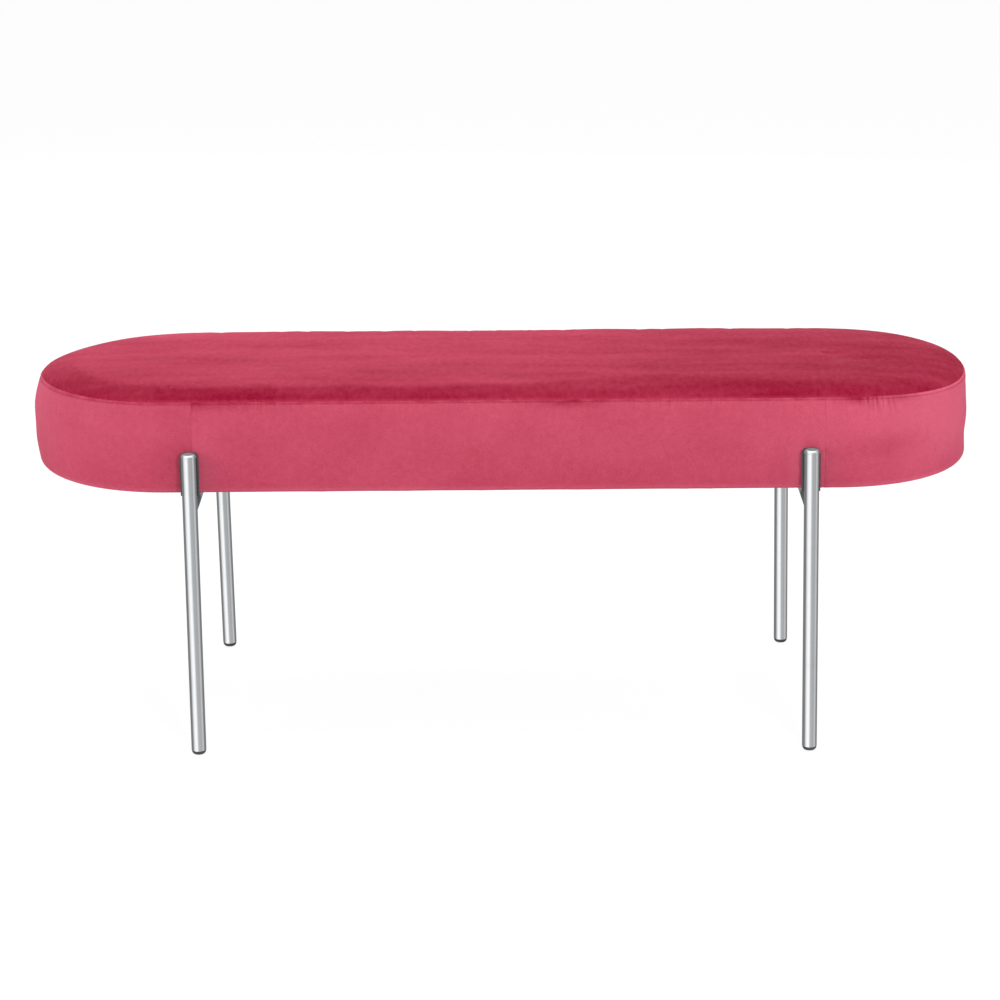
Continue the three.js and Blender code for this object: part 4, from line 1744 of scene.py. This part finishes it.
@dataclass
class DustCover:
    """The black cloth stapled beneath the board, over the turned-in hems of the cover."""

    cover: Cover
    thickness: float = 0.8 * MM
    step_start: float = 43.3 * MM
    step_run: float = 5 * MM
    staple_inset: float = 31 * MM
    staple_pitch: float = 45 * MM
    staple_width: float = 10 * MM
    staple_wire: float = 0.55 * MM
    staple_leg: float = 2.2 * MM
    staple_drop: float = 0.35 * MM
    sag_start: float = 55 * MM
    sag_run: float = 40 * MM
    slack: float = 0.5 * MM
    most_sag: float = 1.6 * MM
    waves: Ripples = Ripples(41, 60 * MM, 190 * MM)
    turned_edge: float = 6 * MM
    plan_step: float = 4.5 * MM
    core_share: float = 0.66
    rim_rows: int = 18

    def __post_init__(self) -> None:
        """Takes the cloth's place from the frame."""
        self.extent = Extent.of("dust_cover")
        self.reach = self.extent.high[1]
        self.rise = self.extent.size[2] - self.thickness

    def height(self, x: Array, y: Array, reach: Array) -> Array:
        """The cloth's upper face: a rim beneath the hems and a field stretched higher up.

        Its height is rim + rise * smooth step, less the uneven sag of the field.

        Args:
            x: places along the bench.
            y: places across it.
            reach: distance out from the middle line.

        Returns:
            Heights.
        """
        inset = self.cover.outline.radius - reach
        rim = self.extent.low[2] + self.thickness
        sag = self.slack * (1 + self.waves.over(x, y))
        sag = sag * np.clip((inset - self.sag_start) / self.sag_run, 0, 1)
        step = self.rise * eased((inset - self.step_start) / self.step_run)
        return rim + step - np.clip(sag, 0, self.most_sag)

    def cloth(self) -> Shape:
        """The cloth's upper face over the whole plan."""
        outline, core_reach = self.cover.outline, self.core_share * self.reach
        core = core_patch(outline, core_reach, self.plan_step)
        rim = rim_patch(outline, core, np.linspace(1, 1 / self.core_share, self.rim_rows))
        parts = []
        for patch in (core, rim):
            x, y = patch.spread(core_reach)
            level = self.height(x, y, patch.share * core_reach)
            places = np.stack([x, y, level], axis=-1).reshape(-1, 3)
            parts.append(Shape(warped(places), patch.faces))
        return joined(parts)

    def staples(self) -> Shape:
        """Staples round the rim: each a flattened wire whose ends turn up into the board."""
        outline = self.cover.outline
        count = int(outline.girth / self.staple_pitch)
        draw = np.random.default_rng(51)
        distance = np.arange(count) * outline.girth / count + draw.uniform(-5, 5, count) * MM
        inset = self.staple_inset + draw.uniform(-1.5, 1.5, count) * MM
        slew = draw.uniform(-0.2, 0.2, count)
        half, leg = self.staple_width / 2, self.staple_leg
        bend = softened([(-half, leg, 0), (-half, 0, 1 * MM), (half, 0, 1 * MM), (half, leg, 0)], 3)
        path = np.stack([bend[:, 0], 0 * bend[:, 0], bend[:, 1]], axis=-1)
        facing = np.tile([0.0, 1.0, 0.0], (len(path), 1))
        wire = carried(path, facing, np.full(len(path), self.staple_wire), 6)
        level = np.full(count, self.extent.low[2] - self.staple_drop)
        origin = outline.points(distance, inset, level)
        out = outline.directions(distance, 1.0, 0.0)
        first = np.cross(UP, out) * np.cos(slew)[:, None] + out * np.sin(slew)[:, None]
        axes = np.stack([first, np.cross(UP, first), np.tile(UP, (count, 1))], axis=1)
        return wire.copies(origin, axes)

    def make(self) -> None:
        """Builds the cloth and its staples."""
        sheet = build(
            "dust_sheet",
            self.cloth(),
            DUST_CLOTH.material(),
            Slot.DUST_CLOTH,
            ("dust_cover",),
            60,
            wall=self.thickness,
            closed=False,
        )
        half, edge = self.cover.outline.straight, self.reach + self.turned_edge
        length, width = 2 * (half + edge), 2 * edge
        area = 4 * half * edge + math.pi * edge**2
        log.info("dust sheet: %.4f by %.4f m, %.4f square metres", length, width, area)
        build("dust_cover_staples", self.staples(), PLATED_STEEL.material(), Slot.PLATED_STEEL)


# The frame's metal


@dataclass(frozen=True)
class Lean:
    """How far a leg stands off its upright place along X, at its foot and at its top."""

    foot: float
    top: float


LEANS = {
    Corner.FRONT_LEFT: Lean(-0.1 * MM, 1.5 * MM),
    Corner.FRONT_RIGHT: Lean(1.9 * MM, -2.9 * MM),
    Corner.REAR_LEFT: Lean(0.8 * MM, -2.2 * MM),
    Corner.REAR_RIGHT: Lean(0.9 * MM, -4.2 * MM),
}


def leaned(shape: Shape, side: int) -> Shape:
    """Moves a piece of the legs' frame along X, as far as the two legs at its end lean.

    Each leg's shift is foot + (top - foot) * z / leg's top, and between the front leg and the rear
    leg it changes evenly with y.

    Args:
        shape: the piece's surface.
        side: -1 for the left end of the bench and 1 for the right end.

    Returns:
        The leaning surface.
    """
    front, rear = Corner.at(side, -1), Corner.at(side, 1)
    top = Extent.of(front.prefix + "_leg_cap")
    share = np.clip(0.5 - 0.5 * shape.points[:, 1] / top.centre[1], 0, 1)
    rise = shape.points[:, 2] / top.high[2]
    shifts = [lean.foot + (lean.top - lean.foot) * rise for lean in (LEANS[front], LEANS[rear])]
    shift = (1 - share) * shifts[0] + share * shifts[1]
    return Shape(shape.points + shift[:, None] * np.array([1.0, 0.0, 0.0]), shape.faces)


def bevelled(piece: bpy.types.Object, width: float, degrees: float = 35.0) -> None:
    """Rounds a piece's sharp edges by a live bevel of two steps."""
    bevel = piece.modifiers.new("bevel", "BEVEL")
    bevel.width = width
    bevel.segments = 2
    bevel.limit_method = "ANGLE"
    bevel.angle_limit = math.radians(degrees)
    bevel.harden_normals = True


@dataclass
class Leg:
    """An upright tube with its cap and its foot glide."""

    corner: Corner
    wall: float = 1.5 * MM
    rim: float = 0.4 * MM
    collar: float = 0.9 * MM
    cap_flat: float = 5.9 * MM
    fit_gap: float = 0.3 * MM
    joint: float = 0.12 * MM
    pad: float = 4.5 * MM
    foot_height: float = 5 * MM
    foot_reveal: float = 0.3 * MM
    plug_round: float = 0.8 * MM
    sides: int = 96

    def __post_init__(self) -> None:
        """Takes the tube, cap and foot from the frame."""
        self.tube = Extent.of(self.corner.prefix + "_leg")
        self.cap = Extent.of(self.corner.prefix + "_leg_cap")
        self.foot = Extent.of(self.corner.prefix + "_foot")
        self.radius = self.cap.size[0] / 2
        self.bore = self.radius - self.wall

    def tube_shape(self) -> Shape:
        """The tube: its outside, its bore and its rounded rims, turned as one closed profile."""
        low, high = self.tube.low[2], self.tube.high[2]
        start = low + 20 * MM
        corners = [
            (self.bore, start, 0),
            (self.bore, low, self.rim / 2),
            (self.radius, low, self.rim),
            (self.radius, high, self.rim),
            (self.bore, high, self.rim / 2),
            (self.bore, start, 0),
        ]
        return turned(softened(corners), self.sides)

    def cap_shape(self) -> Shape:
        """The cap: a collar and a quarter-round dome with a flat, above a plug."""
        low, top = self.cap.low[2], self.cap.high[2]
        seat = self.tube.high[2] + self.joint
        angle = np.linspace(0, math.pi / 2, 13)
        dome_radius = self.cap_flat + (self.radius - self.cap_flat) * np.cos(angle)
        dome_height = seat + self.collar + (top - seat - self.collar) * np.sin(angle)
        plug = self.bore - self.fit_gap
        corners = [(0, low, 0), (plug, low, self.plug_round), (plug, seat, 0), (self.radius, seat, 0)]
        foot = softened(corners, 3)
        collar = softened([(self.radius, seat, 0), (self.radius, seat + self.collar, 0)])
        dome = np.stack([dome_radius, dome_height], axis=-1)
        return turned(np.concatenate([foot, collar, dome[1:], [[0, top]]]), self.sides)

    def foot_shape(self) -> Shape:
        """The foot glide: a flat pad, a quarter-round side and a plug."""
        low, high = self.foot.low[2], self.foot.high[2]
        angle = np.linspace(0, math.pi / 2, 15)
        outer = self.radius - self.foot_reveal
        side_radius = self.pad + (outer - self.pad) * np.sin(angle)
        side_height = low + self.foot_height * (1 - np.cos(angle))
        plug = self.bore - self.fit_gap
        side = np.stack([side_radius, side_height], axis=-1)
        corners = [(plug, low + self.foot_height, 0), (plug, high, self.plug_round), (0, high, 0)]
        top = softened(corners, 3)
        return turned(np.concatenate([[[0, low]], side, top]), self.sides)

    def make(self) -> None:
        """Builds the tube, the cap and the foot."""
        x, y, _ = self.cap.centre
        parts = [
            ("_tube", self.tube_shape(), BRIGHT_STEEL, Slot.BRIGHT_STEEL, "_leg"),
            ("_tube_cap", self.cap_shape(), CAP_STEEL, Slot.BRIGHT_STEEL, "_leg_cap"),
            ("_glide", self.foot_shape(), GREY_PLASTIC, Slot.GREY_PLASTIC, "_foot"),
        ]
        for suffix, shape, finish, slot, node in parts:
            name = self.corner.prefix + suffix
            placed = leaned(shape.moved(x, y), self.corner.side)
            build(name, placed, finish.material(), slot, (self.corner.prefix + node,), 30)


@dataclass
class Spacer:
    """The grey saddle held between a leg and the seat's side, with a cradle for the tube."""

    corner: Corner
    chamfer: float = 4.2 * MM
    clearance: float = 0.3 * MM
    shorter: float = 3.0 * MM
    edge: float = 0.3 * MM

    def shape(self) -> Shape:
        """The saddle at a leg's axis, with the seat towards +Y.

        At each x its front is sqrt(r^2 - x^2) in the cradle of radius r and flat beside it, and its
        top is lowered by |x| less the flat half-width in the chamfers.

        Returns:
            The surface.
        """
        box, tube = Extent.of(self.corner.prefix + "_spacer"), Extent.of(self.corner.prefix + "_leg_cap")
        axis, half = tube.centre[1], box.size[0] / 2
        near, far = sorted(abs(edge - axis) for edge in (box.low[1], box.high[1]))
        cradle = tube.size[0] / 2 + self.clearance
        lip = math.sqrt(cradle**2 - near**2)
        flat = half - self.chamfer
        beside = np.concatenate([[flat], np.linspace(lip, half, 4)])
        x = np.unique(np.concatenate([-beside, np.linspace(-lip, lip, 25), beside]).round(7))
        front = np.where(np.abs(x) < lip, np.sqrt(np.clip(cradle**2 - x**2, 0, None)), near)
        top = box.high[2] - np.clip(np.abs(x) - flat, 0, None)
        low = 0 * x + box.low[2] + self.shorter
        rows = [
            np.stack([x, front, low], axis=-1),
            np.stack([x, front, top], axis=-1),
            np.stack([x, 0 * x + far, top], axis=-1),
            np.stack([x, 0 * x + far, low], axis=-1),
        ]
        points = np.stack(rows, axis=1)
        if self.corner.face > 0:
            points[..., 1] *= -1
        last = 4 * (len(x) - 1)
        ends = np.array([[0, 1, 2, 3], [last + 3, last + 2, last + 1, last]])
        faces = np.concatenate([grid_faces(len(x), 4, around=True), ends])
        centre = tube.centre
        return Shape(points.reshape(-1, 3), faces).moved(centre[0], centre[1])

    def make(self) -> None:
        """Builds the saddle with softly rounded edges."""
        name = self.corner.prefix + "_saddle"
        node = self.corner.prefix + "_spacer"
        placed = leaned(self.shape(), self.corner.side)
        piece = build(name, placed, GREY_PLASTIC.material(), Slot.GREY_PLASTIC, (node,), 30)
        bevelled(piece, self.edge)


@dataclass
class Rail:
    """A cross rail under one end of the seat, notched round the legs, with its welds."""

    side: int
    wall: float = 1.5 * MM
    notch_gap: float = 0.3 * MM
    sides: int = 72
    rows: int = 9
    bead: float = 1.3 * MM
    bead_gap: float = 0.2 * MM
    bead_sunk: float = 0.5 * MM
    plate_bead_size: float = 1.5 * MM
    plate_bead_inset: float = 4 * MM
    plate_bead_aside: float = 5.4 * MM
    plate_bead_drop: float = 1.1 * MM

    def __post_init__(self) -> None:
        """Takes the rail and the legs that it meets from the frame."""
        self.node = "left_rail" if self.side < 0 else "right_rail"
        self.extent = Extent.of(self.node)
        self.radius = self.extent.size[2] / 2
        self.leg = Extent.of(Corner.at(self.side, -1).prefix + "_leg_cap")

    def end(self, radius: float, angle: Array, gap: float) -> Array:
        """How far along Y the rail's wall reaches: leg's y - sqrt((leg r + gap)^2 - (r cos a)^2)."""
        clear = self.leg.size[0] / 2 + gap
        return -self.leg.centre[1] - np.sqrt(np.clip(clear**2 - (radius * np.cos(angle)) ** 2, 0, None))

    def wall_rows(self, radius: float, share: Array) -> Array:
        """A wall of the tube at shares from -1 to 1 of its length, with notched ends."""
        angle = round_angles(self.sides)
        reach = self.end(radius, angle, self.notch_gap)
        y = share[:, None] * reach
        x, z = radius * np.cos(angle) + 0 * y, radius * np.sin(angle) + 0 * y
        return np.stack([x, y, z], axis=-1)

    def shape(self) -> Shape:
        """The rail, outside and bore as one closed surface."""
        share = np.linspace(-1, 1, self.rows)
        outside = self.wall_rows(self.radius, share)
        bore = self.wall_rows(self.radius - self.wall, share[::-1])
        points = np.concatenate([outside, bore, outside[:1]])
        faces = grid_faces(len(points), self.sides, around=True)
        return Shape(points.reshape(-1, 3), faces).moved(self.extent.centre[0], 0, self.extent.centre[2])

    def leg_bead(self, face: int) -> Shape:
        """The weld round the saddle joint with one leg: a rippled bead along the notch."""
        angle = np.linspace(0, TAU, 145)
        path = self.joint(angle, face)
        outward = np.stack([np.cos(angle), 0 * angle - 0.5 * face, np.sin(angle)], axis=-1)
        outward /= np.linalg.norm(outward, axis=1, keepdims=True)
        radius = self.bead * (0.35 + 0.65 * np.abs(np.sin(angle)))
        radius = radius * (1 + 0.10 * np.sin(26 * angle) + 0.06 * np.sin(9 * angle + 1))
        return carried(path, outward, radius, 10)

    def joint(self, angle: Array, face: int) -> Array:
        """The line where the rail's outside meets a leg."""
        reach = self.end(self.radius, angle, self.bead_gap)
        radius = self.radius - self.bead_sunk
        x, z = radius * np.cos(angle), radius * np.sin(angle)
        return np.stack([self.extent.centre[0] + x, face * reach, self.extent.centre[2] + z], axis=-1)

    def plate_bead(self, face: int, edge: int) -> Shape:
        """A weld along one side of the rail under a mounting plate."""
        plate = Extent.of(Corner.at(self.side, face).prefix + "_plate")
        t = np.linspace(0, 1, 90)
        y = plate.low[1] + self.plate_bead_inset + t * (plate.size[1] - 2 * self.plate_bead_inset)
        x = 0 * y + self.extent.centre[0] + edge * self.plate_bead_aside
        path = np.stack([x, y, 0 * y + plate.low[2] - self.plate_bead_drop], axis=-1)
        thinning = np.minimum(1, 12 * np.minimum(t, 1 - t)) ** 0.5
        radius = self.plate_bead_size * (1 + 0.12 * np.sin(TAU * 20 * t)) * thinning
        outward = np.tile([edge * 0.7071, 0.0, -0.7071], (len(t), 1))
        return carried(path, outward, np.maximum(radius, 0.1 * MM), 10)

    def make(self) -> None:
        """Builds the rail and its six welds."""
        tube = leaned(self.shape(), self.side)
        build(self.node + "_tube", tube, RAIL_STEEL.material(), Slot.BRIGHT_STEEL, (self.node,), 30)
        beads = [self.leg_bead(face) for face in (-1, 1)]
        beads += [self.plate_bead(face, edge) for face in (-1, 1) for edge in (-1, 1)]
        welds = leaned(joined(beads), self.side)
        build(self.node + "_welds", welds, WELD_STEEL.material(), Slot.BRIGHT_STEEL, (), 60)


@dataclass
class Mounting:
    """A plate on a rail, with its bolts and washers."""

    corner: Corner
    plate_corner: float = 8 * MM
    head_bevel: float = 1.2 * MM
    socket: float = 2.3 * MM
    socket_depth: float = 2.0 * MM
    head_height: float = 3.4 * MM
    shank: float = 3 * MM
    tip: float = 1.2 * MM
    washer_bore: float = 3.4 * MM
    edge: float = 0.5 * MM
    crisp: float = 0.2 * MM
    rim: float = 0.3 * MM
    plate_sides: int = 64
    sides: int = 48

    def plate_shape(self) -> Shape:
        """The plate: a rectangle with round corners, drawn in by an edge radius above and below.

        A point of its outline at angle a is x = across * sign(cos a) + reach * cos a and
        y = deep * sign(sin a) + reach * sin a, so each quarter turn rounds one corner.

        Returns:
            The surface.
        """
        plate = Extent.of(self.corner.prefix + "_plate")
        angle = (np.arange(self.plate_sides) + 0.5) * TAU / self.plate_sides
        across, deep = plate.size[0] / 2 - self.plate_corner, plate.size[1] / 2 - self.plate_corner
        low, high = plate.low[2], plate.high[2]
        turn = np.linspace(0, math.pi / 2, 5)
        lower = np.stack([self.edge * (np.sin(turn) - 1), low + self.edge * (1 - np.cos(turn))], axis=-1)
        upper = np.stack([self.edge * (np.cos(turn) - 1), high - self.edge * (1 - np.sin(turn))], axis=-1)
        rows = np.concatenate([lower, upper])
        reach = self.plate_corner + rows[:, :1]
        x = across * np.sign(np.cos(angle)) + reach * np.cos(angle)
        y = deep * np.sign(np.sin(angle)) + reach * np.sin(angle)
        rings = np.stack([x, y, rows[:, 1:] + 0 * x], axis=-1)
        lid = np.stack([0 * x[:1], 0 * x[:1], 0 * x[:1] + low], axis=-1)
        points = np.concatenate([lid, rings, lid + np.array([0, 0, high - low])])
        faces = grid_faces(len(points), self.plate_sides, around=True)
        return Shape(points.reshape(-1, 3), faces).moved(plate.centre[0], plate.centre[1])

    def bolt_shape(self, bolt: Extent) -> Shape:
        """A bolt: a bevelled round head with a hexagon socket, and a plain shank.

        In the socket's rows the radius at angle a is r / cos((a mod 60 degrees) - 30 degrees).

        Args:
            bolt: the bolt's place.

        Returns:
            The surface.
        """
        low, high, head = bolt.low[2], bolt.high[2], bolt.size[0] / 2
        head_top = low + self.head_height
        profile = softened(
            [
                (0, low + self.socket_depth, 0),
                (self.socket, low + self.socket_depth, 0),
                (self.socket, low, self.crisp),
                (head - self.head_bevel, low, self.edge),
                (head, low + self.head_bevel, self.head_bevel / 2),
                (head, head_top, self.crisp),
                (self.shank, head_top, 0),
                (self.shank, high - self.tip, 0),
                (self.shank - self.tip, high, 0),
                (0, high, 0),
            ],
            3,
        )
        shape = turned(profile, self.sides)
        angle = round_angles(self.sides)
        hexagon = 1 / np.cos(np.mod(angle, TAU / 6) - TAU / 12)
        flat = np.where(profile[:, :1] <= self.socket + 1e-6, hexagon, 1)
        flat = np.where(profile[:, 1:] > head_top, 1, flat)
        shape.points[:, :2] *= flat.ravel()[:, None]
        return shape.moved(bolt.centre[0], bolt.centre[1])

    def washer_shape(self, washer: Extent) -> Shape:
        """A washer with softly rounded rims."""
        low, high, outer = washer.low[2], washer.high[2], washer.size[0] / 2
        corners = [
            (self.washer_bore, (low + high) / 2, 0),
            (self.washer_bore, low, self.crisp),
            (outer, low, self.rim),
            (outer, high, self.rim),
            (self.washer_bore, high, self.crisp),
            (self.washer_bore, (low + high) / 2, 0),
        ]
        return turned(softened(corners), self.sides).moved(washer.centre[0], washer.centre[1])

    def make(self) -> None:
        """Builds the plate, the bolts and the washers, and finishes the tee nuts."""
        prefix = self.corner.prefix
        plated, slot = PLATED_STEEL.material(), Slot.PLATED_STEEL
        build(prefix + "_mount", self.plate_shape(), plated, slot, (prefix + "_plate",), 30)
        for place in BoltPlace:
            name = prefix + "_" + place.value
            bolt, washer = Extent.of(name + "_bolt"), Extent.of(name + "_washer")
            build(name + "_screw", self.bolt_shape(bolt), plated, slot, (name + "_bolt",), 30)
            build(name + "_ring", self.washer_shape(washer), plated, slot, (name + "_washer",), 30)
            dress(name + "_tee_nut", PLATED_STEEL, slot)


def dress(node: str, finish: Finish, slot: Slot) -> None:
    """Gives a node of the frame a finish.

    Args:
        node: the node's name.
        finish: its finish.
        slot: the record's slot of the finish.
    """
    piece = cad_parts[node]
    piece.data.materials.clear()
    piece.data.materials.append(finish.material())
    piece.visible_glossy = slot not in SEAT_SLOTS


# Studio


@dataclass(frozen=True)
class SoftBox:
    """A tall soft box that metal reflects. Its heading is in degrees to the right of the front."""

    heading: float
    half_width: float
    softness: float
    strength: float

    def glow(self, graph: Graph, level: bpy.types.NodeSocket) -> Signal:
        """Its light in a level direction: a smooth step of the cosine between the direction and its heading.

        Args:
            graph: the world's graph.
            level: the direction's level part, of length 1.

        Returns:
            The light's strength.
        """
        turn = math.radians(self.heading)
        facing = (math.sin(turn), -math.cos(turn), 0)
        near = graph.node("ShaderNodeVectorMath", {"operation": "DOT_PRODUCT"}, {0: level, 1: facing})
        outer = math.cos(math.radians(self.half_width + self.softness))
        inner = math.cos(math.radians(max(self.half_width - self.softness, 0)))
        return Signal(graph, near.outputs["Value"]).between(outer, inner) * self.strength


@dataclass(frozen=True)
class Lamp:
    """A rectangular lamp that faces the middle of the bench, with its power in watts."""

    name: str
    place: tuple
    width: float
    height: float
    power: float

    def make(self, aim: tuple) -> None:
        """Adds the lamp, turned to a point and hidden from the camera and from gloss."""
        data = bpy.data.lights.new(self.name, "AREA")
        data.shape = "RECTANGLE"
        data.size, data.size_y = self.width, self.height
        data.energy = self.power
        lamp = bpy.data.objects.new(self.name, data)
        lamp.location = self.place
        lamp.rotation_euler = (Vector(aim) - Vector(self.place)).to_track_quat("-Z", "Y").to_euler()
        lamp.visible_camera = lamp.visible_glossy = False
        bpy.context.scene.collection.objects.link(lamp)


@dataclass
class Studio:
    """A pale floor, soft light and the camera."""

    focal_pixels: float = 2922.0
    picture_pixels: float = 1000.0
    sensor: float = 36.0
    eye: tuple = (25.31 * MM, -3532 * MM, 1319 * MM)
    yaw: float = -0.4513
    pitch: float = 16.67
    roll: float = -0.5675
    ambient: float = 0.5
    dim: float = 0.28
    overhead: float = 1.1
    floor_shine: float = 0.6
    reflected: tuple = (
        SoftBox(-42, 22, 28, 0.98),
        SoftBox(10, 36, 44, 0.32),
        SoftBox(82, 15, 9, 0.50),
    )
    floor_half: float = 30.0
    floor_pale: tuple = (0.8, 0.8, 0.8, 1)
    floor_glow: float = 1.12
    floor_lit: float = 0.8
    aim: tuple = (0, 0, 0.3)
    lamps: tuple = (
        Lamp("key", (1.0, -3.4, 1.3), 0.6, 0.6, 35.5),
        Lamp("fill", (-3.2, -2.4, 1.2), 1.8, 2.0, 45),
        Lamp("top_light", (0, 0.3, 3.4), 3.0, 2.0, 33.5),
        Lamp("back_light", (0.5, 3.2, 1.8), 2.0, 1.5, 30),
        Lamp("right_light", (3.4, -1.4, 1.9), 1.6, 1.6, 20),
    )

    def camera(self) -> None:
        """Sets the camera where the photograph was taken from.

        It looks along (sin yaw cos pitch, cos yaw cos pitch, -sin pitch), rolled about that line.
        """
        yaw, pitch, roll = (math.radians(angle) for angle in (self.yaw, self.pitch, self.roll))
        forward = Vector(
            (math.sin(yaw) * math.cos(pitch), math.cos(yaw) * math.cos(pitch), -math.sin(pitch))
        )
        right = Vector((math.cos(yaw), -math.sin(yaw), 0))
        up = right.cross(forward)
        across = math.cos(roll) * right + math.sin(roll) * up
        upward = -math.sin(roll) * right + math.cos(roll) * up
        data = bpy.data.cameras.new("camera")
        data.sensor_width = self.sensor
        data.lens = self.focal_pixels * self.sensor / self.picture_pixels
        data.clip_end = 60
        camera = bpy.data.objects.new("camera", data)
        turned_to = Matrix((across, upward, -forward)).transposed()
        camera.matrix_world = Matrix.Translation(self.eye) @ turned_to.to_4x4()
        bpy.context.scene.collection.objects.link(camera)
        bpy.context.scene.camera = camera

    def seen(self, graph: Graph) -> Signal:
        """1 for rays from the camera, from gloss and from glass, and 0 for the rest."""
        path = graph.node("ShaderNodeLightPath", {}, {}).outputs
        camera, gloss = Signal(graph, path["Is Camera Ray"]), Signal(graph, path["Is Glossy Ray"])
        glass = Signal(graph, path["Is Transmission Ray"])
        return (camera + gloss + glass).between(0.0, 1.0)

    def world(self) -> None:
        """A white background, even dim light from all round, and the soft boxes that metal reflects."""
        world = bpy.data.worlds.new("studio")
        bpy.context.scene.world = world
        graph = Graph(world)
        path = graph.node("ShaderNodeLightPath", {}, {}).outputs
        heading = graph.node("ShaderNodeTexCoord", {}, {}).outputs["Generated"]
        level = graph.node("ShaderNodeVectorMath", {"operation": "MULTIPLY"}, {0: heading, 1: (1, 1, 0)})
        level = graph.node("ShaderNodeVectorMath", {"operation": "NORMALIZE"}, {0: level.outputs[0]})
        upward = graph.axis(heading, 2)
        shine = upward.between(0.45, 0.85) * self.overhead + self.dim
        shine = shine + (0 - upward).between(0.55, 0.95) * self.floor_shine
        for box in self.reflected:
            shine = shine + box.glow(graph, level.outputs[0])
        dim, boxes, white = (
            graph.node("ShaderNodeBackground", {}, {"Color": (1, 1, 1, 1), "Strength": strength})
            for strength in (self.ambient, shine, 1.0)
        )
        lit = graph.mixed(path["Is Glossy Ray"], dim, boxes)
        straight = Signal(graph, path["Is Camera Ray"]) + Signal(graph, path["Is Transmission Ray"])
        mixed = graph.mixed(straight.clamped(), lit, white)
        graph.node("ShaderNodeOutputWorld", {}, {"Surface": mixed.outputs[0]})

    def floor(self) -> None:
        """A pale floor that keeps the bench's shadow, as white as the background, and clear from below."""
        mesh = bpy.data.meshes.new("floor")
        half = self.floor_half
        corners = [(-half, -half, 0), (half, -half, 0), (half, half, 0), (-half, half, 0)]
        mesh.from_pydata(corners, [], [(0, 1, 2, 3)])
        material = bpy.data.materials.new("floor")
        graph = Graph(material)
        pale = graph.node("ShaderNodeBsdfDiffuse", {}, {"Color": self.floor_pale})
        glow = {"Color": (1, 1, 1, 1), "Strength": self.floor_glow}
        white = graph.node("ShaderNodeEmission", {}, glow)
        mixed = graph.mixed(self.seen(graph) * self.floor_lit, pale, white)
        below = graph.node("ShaderNodeNewGeometry", {}, {}).outputs["Backfacing"]
        clear = graph.node("ShaderNodeBsdfTransparent", {}, {})
        sides = graph.mixed(below, mixed, clear)
        graph.node("ShaderNodeOutputMaterial", {}, {"Surface": sides.outputs[0]})
        mesh.materials.append(material)
        floor = bpy.data.objects.new("floor", mesh)
        floor.visible_glossy = False
        bpy.context.scene.collection.objects.link(floor)

    def make(self) -> None:
        """Sets up the camera, the background, the floor and the lamps."""
        self.camera()
        self.world()
        self.floor()
        for lamp in self.lamps:
            lamp.make(self.aim)
        bpy.context.scene.view_settings.view_transform = "Standard"


def main() -> None:
    """Builds the bench and the studio."""
    logging.basicConfig(level=logging.INFO, format="%(message)s")
    Studio().make()
    cover = Cover()
    cover.make()
    Padding(cover).make()
    DustCover(cover).make()
    for corner in Corner:
        Leg(corner).make()
        Spacer(corner).make()
        Mounting(corner).make()
    for side in (-1, 1):
        Rail(side).make()
    dress("base_board", PLYWOOD, Slot.PLYWOOD)


if __name__ == "__main__":
    main()
